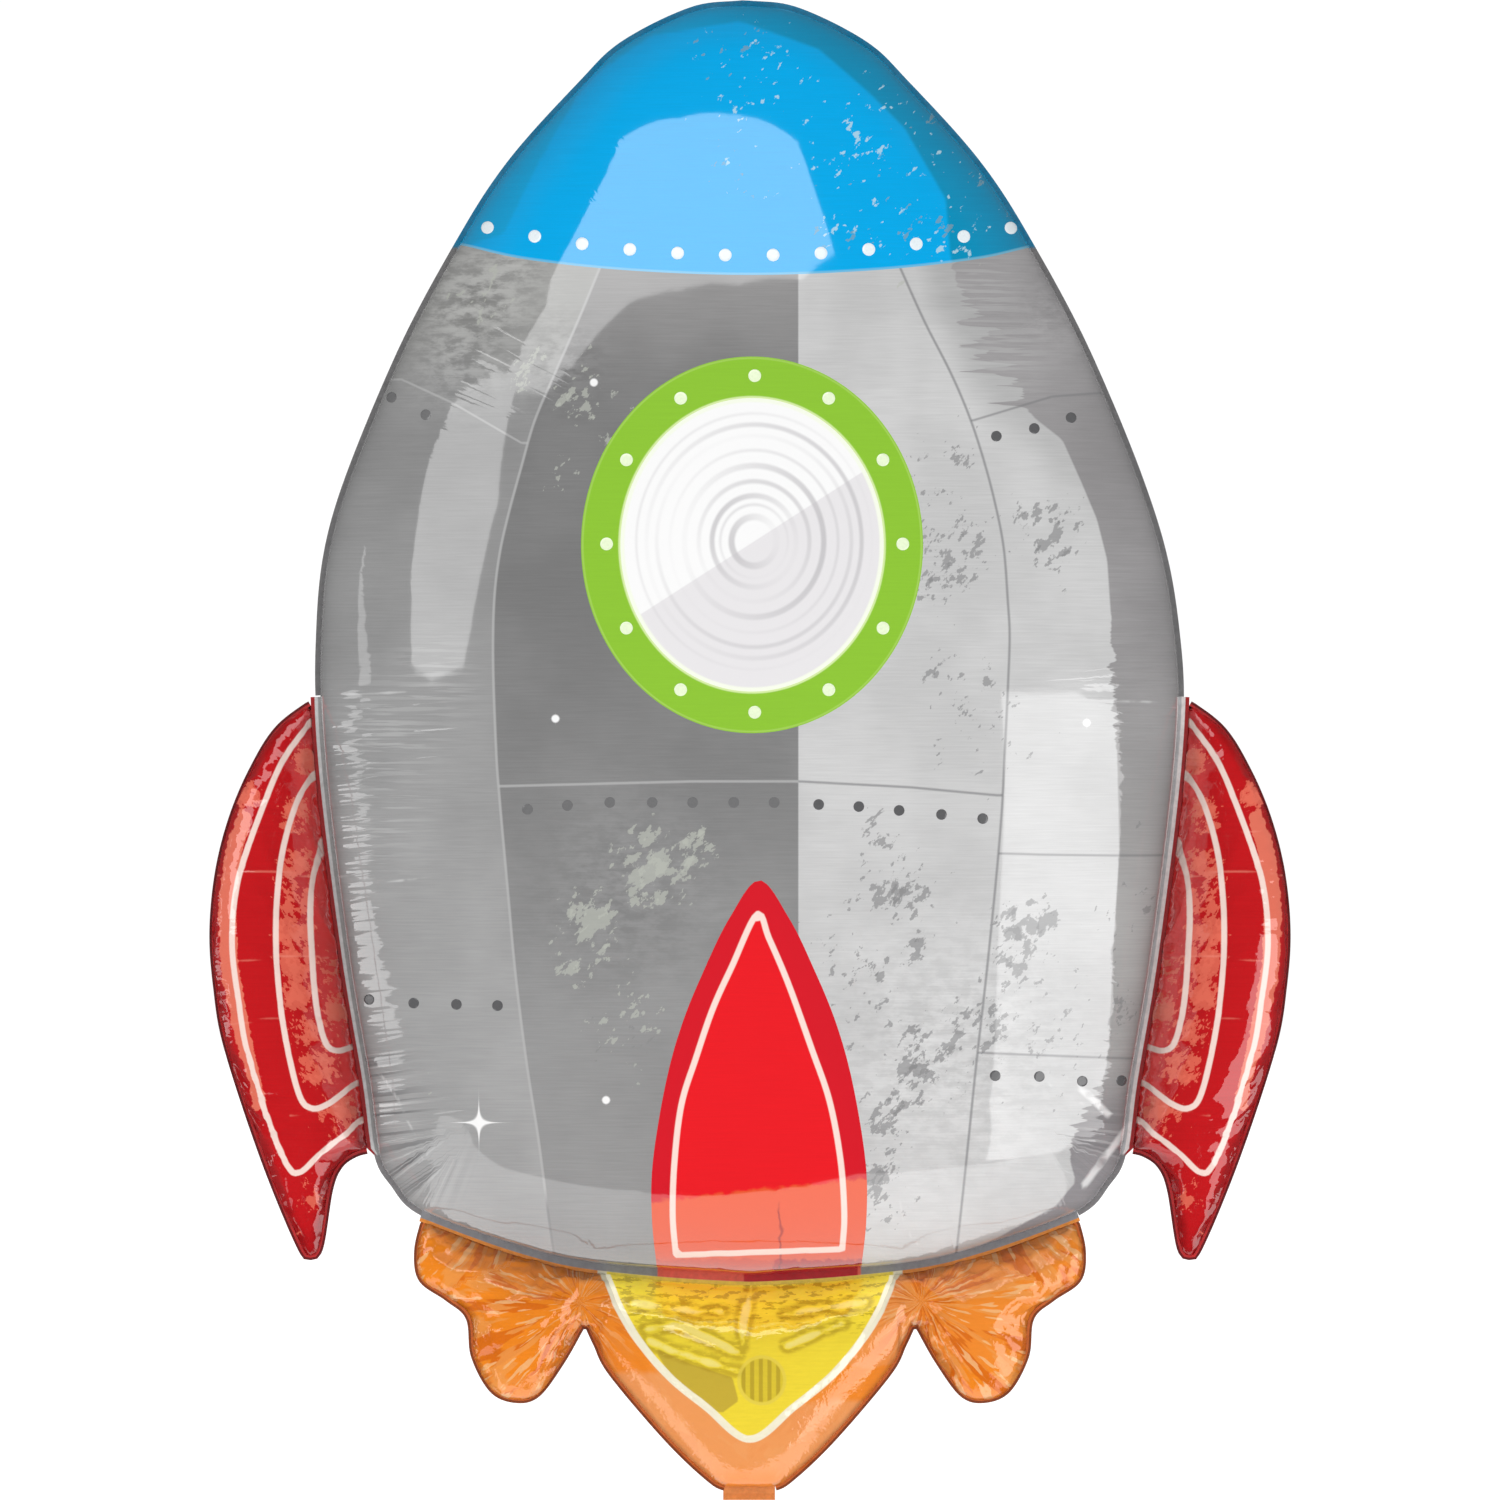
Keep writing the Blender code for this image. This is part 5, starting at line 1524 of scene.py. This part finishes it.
class BALLOON_OT_flames(bpy.types.Operator):
    """Blow up the crumpled flame tail with its lobes, centre flame and yellow core"""
    bl_idname = "balloon.flames"
    bl_label = "Flame tail"

    def execute(self, context):
        settings, inks = context.scene.balloon_film, context.scene.balloon_print
        flame = Chamber(flame_loop(), settings.flame_facet)
        print_flame(flame)
        flame.crumple(settings.spare_film, cap=4.0, share=flame.values["gathered"])
        flame.add_puckers(0.4, spacing=6.0, reach=12.0, base=0.5, seed=7.0)
        flame.add_gathers(FLAME_GATHERS, height=1.0, creases=26, seed=3.0)
        flame.press_lines(flame.values["fold"], height=0.6, width=3.0)
        flame.cut("core")
        flame.cut("lobe")
        core, lobe = flame.where("core"), flame.where("lobe")
        right = flame.values["flat"][flame.facets].mean(axis=1)[:, 0] > 0
        orange = flame_film(inks)
        for chosen, node, film, slot in (
                (core & ~lobe, "flame_core", core_film(inks), "film_yellow"),
                (~core & ~lobe, "flame_centre", orange, "film_orange"),
                (lobe & right, "flame_right", orange, "film_orange"),
                (lobe & ~right, "flame_left", orange, "film_orange")):
            add_film(flame, chosen, node, film, in_mirror=False)
        chambers["flame"] = flame
        return {"FINISHED"}


def run_between(rim, start, end):
    """The stretch of a closed rim from the point nearest start to the one nearest end."""
    first, last = (int(np.argmin(np.linalg.norm(rim - spot, axis=1))) for spot in (start, end))
    if last < first:
        last += len(rim)
    return rim[np.arange(first, last + 1) % len(rim)]


def widened(line):
    """A chamber's rim with the outer line of its own welded edge."""
    return line, line + outward(line, closed=False) * SEAM


class BALLOON_OT_welds(bpy.types.Operator):
    """Lay the flat welded edges round the chambers and between them"""
    bl_idname = "balloon.welds"
    bl_label = "Welded edges"

    def execute(self, context):
        tree = welded_edge()
        thickness = context.scene.balloon_film.edge_thickness
        for node, ((inner, outer), film, slot) in self.edges().items():
            mesh = grown_mesh(f"edge_{node}", path_mesh(node, inner, outer), tree,
                              Thickness=thickness, Film=film,
                              Rows=VALVE_ROWS if node == "fill_valve" else EDGE_ROWS)
            add_piece(f"edge_{node}", mesh, film, node)
        return {"FINISHED"}

    def edges(self):
        """Inner and outer line, material and slot of each welded edge."""
        red_edge = (0.62, (186, 26, 30))
        below, level = (146, 144, 146), FIN_BOTTOM * MM
        left = weld_film("welded film, left", ((0, 172), (0.3, 228), red_edge), below, level)
        right = weld_film("welded film, right", ((0, (200, 200, 202)), (0.25, (252, 244, 242)),
                                                 red_edge), below, level)
        top = weld_film("welded film, blue and grey", ((0, (6, 130, 172)),), (128, 127, 128),
                        (NOSE_BORDER[0][1] - 1) * MM)
        red = weld_film("welded film, red", ((0, (205, 30, 34)), (0.5, (120, 14, 20))))
        orange = weld_film("welded film, orange", ((0, (226, 112, 32)), (0.5, (150, 70, 16))))
        valve_film = weld_film("welded film, fill valve", ((0, (246, 150, 72)), (0.5, (238, 138, 60))))
        under = weld_film("welded film, under the hull", ((0, (158, 159, 164)), (0.66, (255, 156, 50))),
                          patches=UNDER_PATCHES)
        hull, fin, flame = (chambers[name].rim for name in ("hull", "fin", "flame"))
        corner_top = leaned(hull_side(FIN_TOP - 1, FIN_TOP + 1)[:1])[0]
        corner = np.array(HULL_TOP[-1])
        tip = fin[np.argmax(fin[:, 1])]
        foot = hull_side(FIN_BOTTOM - 1, FIN_BOTTOM + 1)[0]
        valve = np.array((VALVE_WIDTH / 2, VALVE_TOP))
        side = run_between(hull, corner, corner_top)
        own = widened(side)[1]
        across = nearest_on(side, run_between(fin, tip, foot), closed=False)[0]
        far = np.linalg.norm(across - side, axis=1) > WELD_REACH * SEAM
        across[far] = own[far]
        under_hull = run_between(hull, mirrored(corner), corner)
        under_flame = run_between(flame, corner, mirrored(corner))
        end = run_between(flame, mirrored(valve), valve)
        edges = {
            "seam_top": (widened(run_between(hull, corner_top, mirrored(corner_top))), top, "film_blue"),
            "rim_fin_right": (widened(run_between(fin, foot, tip)), red, "film_red"),
            "rim_flame_right": (widened(run_between(flame, valve, corner)), orange, "film_orange"),
            "seam_right": ((side, across), right, "film_weld"),
        }
        for name in ("rim_fin_right", "rim_flame_right", "seam_right"):
            lines, film, slot = edges[name]
            film = left if name == "seam_right" else film
            edges[name.replace("right", "left")] = ([mirrored(line) for line in lines], film, slot)
        below_hull = nearest_on(under_hull, under_flame, closed=False)[0]
        edges["seam_bottom"] = ((under_hull, below_hull), under, "film_weld")
        edges["fill_valve"] = ((end, end * (1, 0)), valve_film, "film_weld")
        return edges


class BALLOON_OT_dots(bpy.types.Operator):
    """Lay the printed rivet dots on the nose, the porthole ring and the hull"""
    bl_idname = "balloon.dots"
    bl_label = "Rivet dots"

    def execute(self, context):
        colors = context.scene.balloon_print
        tree = printed_dots()
        (x, z), (wide, high) = RING_DOT_CENTRE, RING_DOT_RADII
        angles = [2 * math.pi * i / RING_DOTS + math.pi / 2 for i in range(RING_DOTS)]
        ring = [(x + wide * math.cos(a), z + high * math.sin(a)) for a in angles]
        rows = (
            ("nose", NOSE_DOTS, "white", (240, 250, 255), "film_white"),
            ("porthole_ring", ring, "pale green", (240, 255, 215), "film_white"),
            ("hull", HULL_DOTS, "grey", (96, 96, 98), "film_silver"),
            ("hull", FAINT_DOTS, "faint grey", (116, 116, 117), "film_silver"),
        )
        for number, (field, places, ink_name, color, slot) in enumerate(rows):
            film = ink_film(f"ink, {ink_name}", color)
            mesh = new_mesh("dot places", [(x * MM, 0.0, z * MM) for x, z in places])
            radius = colors.hull_dot_radius if field == "hull" else colors.dot_radius
            front = grown_mesh(f"dots_{number}_{field}_front", mesh, tree, Radius=radius, Ink=film,
                               Film=bpy.data.objects[f"film_{field}_front"])
            back = mirrored_mesh(front, f"dots_{number}_{field}_back")
            for side, dots in (("front", front), ("back", back)):
                add_piece(f"dots_{number}_{field}_{side}", dots, film, None)
        return {"FINISHED"}


class BALLOON_OT_stage(bpy.types.Operator):
    """Add the floor, the softboxes, the even studio light and the camera"""
    bl_idname = "balloon.stage"
    bl_label = "Stage"

    def execute(self, context):
        settings = context.scene.balloon_stage
        self.add_floor(settings.floor_height)
        for name, (share, outline) in SOFTBOXES.items():
            self.add_softbox(name, outline, share * settings.softbox)
        self.add_world(context.scene)
        self.add_camera(context.scene, settings)
        return {"FINISHED"}

    def add_floor(self, z):
        half = FLOOR_SIZE / 2
        corners = [(-half, -half, z), (half, -half, z), (half, half, z), (-half, half, z)]
        mesh = new_mesh("floor", corners, faces=[(0, 1, 2, 3)])
        material = new_material("pale floor")
        NodeWeb(material.node_tree).put(material.node_tree.nodes["Principled BSDF"], {
            "Base Color": (0.94, 0.94, 0.94, 1), "Roughness": 1.0, "Specular IOR Level": 0.0,
            "Emission Color": (1, 1, 1, 1), "Emission Strength": 0.35})
        mesh.materials.append(material)
        floor = link("floor", mesh)
        floor.visible_glossy = False

    def add_softbox(self, name, outline, brightness):
        """A bright panel that shows in the film's gloss and nowhere else."""
        ways = [chambers["hull"].mirrored_view(x, z) for x, z in outline]
        points = [tuple(start + way * SOFTBOX_DISTANCE) for start, way in ways]
        mesh = new_mesh(name, points, faces=[tuple(range(len(points)))])
        material = new_material(name)
        nodes = material.node_tree.nodes
        nodes.remove(nodes["Principled BSDF"])
        web = NodeWeb(material.node_tree)
        glow = web.add("ShaderNodeEmission", {"Color": (1, 1, 1, 1), "Strength": brightness})
        web.put(nodes["Material Output"], {0: glow})
        mesh.materials.append(material)
        panel = link(name, mesh)
        panel.visible_camera = panel.visible_diffuse = False
        panel.visible_shadow = panel.visible_transmission = False

    def add_world(self, scene):
        """White to the camera, even light on the print, and a dim room in reflections."""
        scene.world = bpy.data.worlds.new("studio")
        scene.world.use_nodes = True
        web = NodeWeb(scene.world.node_tree)
        toward = web.split(web.add("ShaderNodeTexCoord", output="Generated"), 1)
        even = EVEN_LIGHT + ((toward * -FRONT_LIGHT).larger(0.0) + (toward * BACK_LIGHT).larger(0.0))
        room = web.step(toward, 0.0, 0.4, *ROOM_LIGHT)
        glossy = web.add("ShaderNodeLightPath", output="Is Glossy Ray")
        light = web.add("ShaderNodeMix", {0: glossy, 2: even, 3: room})
        shown = web.add("ShaderNodeMix", {0: glossy.other("Is Camera Ray"), 2: light, 3: BACKDROP_LIGHT})
        web.put(web.tree.nodes["Background"], {"Color": (1, 1, 1, 1), "Strength": shown})
        scene.world.cycles.sampling_method = "NONE"
        scene.view_settings.view_transform = "Standard"

    def add_camera(self, scene, settings):
        data = bpy.data.cameras.new("camera")
        data.sensor_width = 36.0
        data.lens = data.sensor_width * settings.camera_distance / settings.frame_height
        data.clip_start, data.clip_end = 0.1, 100.0
        camera = link("camera", data)
        camera.location = (0.0, -settings.camera_distance, settings.frame_height / 2)
        camera.rotation_euler = (math.radians(90), 0.0, 0.0)
        scene.camera = camera


STEPS = (BALLOON_OT_hull, BALLOON_OT_side_fins, BALLOON_OT_flames, BALLOON_OT_welds,
         BALLOON_OT_dots, BALLOON_OT_stage)
GROUPS = {"balloon_film": BalloonFilm, "balloon_print": BalloonPrint, "balloon_stage": BalloonStage}


class BALLOON_PT_sidebar(bpy.types.Panel):
    """Lists the balloon's steps and settings"""
    bl_idname = "BALLOON_PT_sidebar"
    bl_label = "Rocket balloon"
    bl_space_type = "VIEW_3D"
    bl_region_type = "UI"
    bl_category = "Balloon"

    def draw(self, context):
        for step in STEPS:
            self.layout.operator(step.bl_idname)
        for name in GROUPS:
            group = getattr(context.scene, name)
            for key in group.__annotations__:
                self.layout.prop(group, key)


def register():
    for kind in (*GROUPS.values(), *STEPS, BALLOON_PT_sidebar):
        bpy.utils.register_class(kind)
    for name, kind in GROUPS.items():
        setattr(bpy.types.Scene, name, bpy.props.PointerProperty(type=kind))


def unregister():
    for name in GROUPS:
        delattr(bpy.types.Scene, name)
    for kind in (BALLOON_PT_sidebar, *reversed(STEPS), *GROUPS.values()):
        bpy.utils.unregister_class(kind)


def main():
    register()
    for step in STEPS:
        area, name = step.bl_idname.split(".")
        getattr(getattr(bpy.ops, area), name)()


if __name__ == "__main__":
    main()
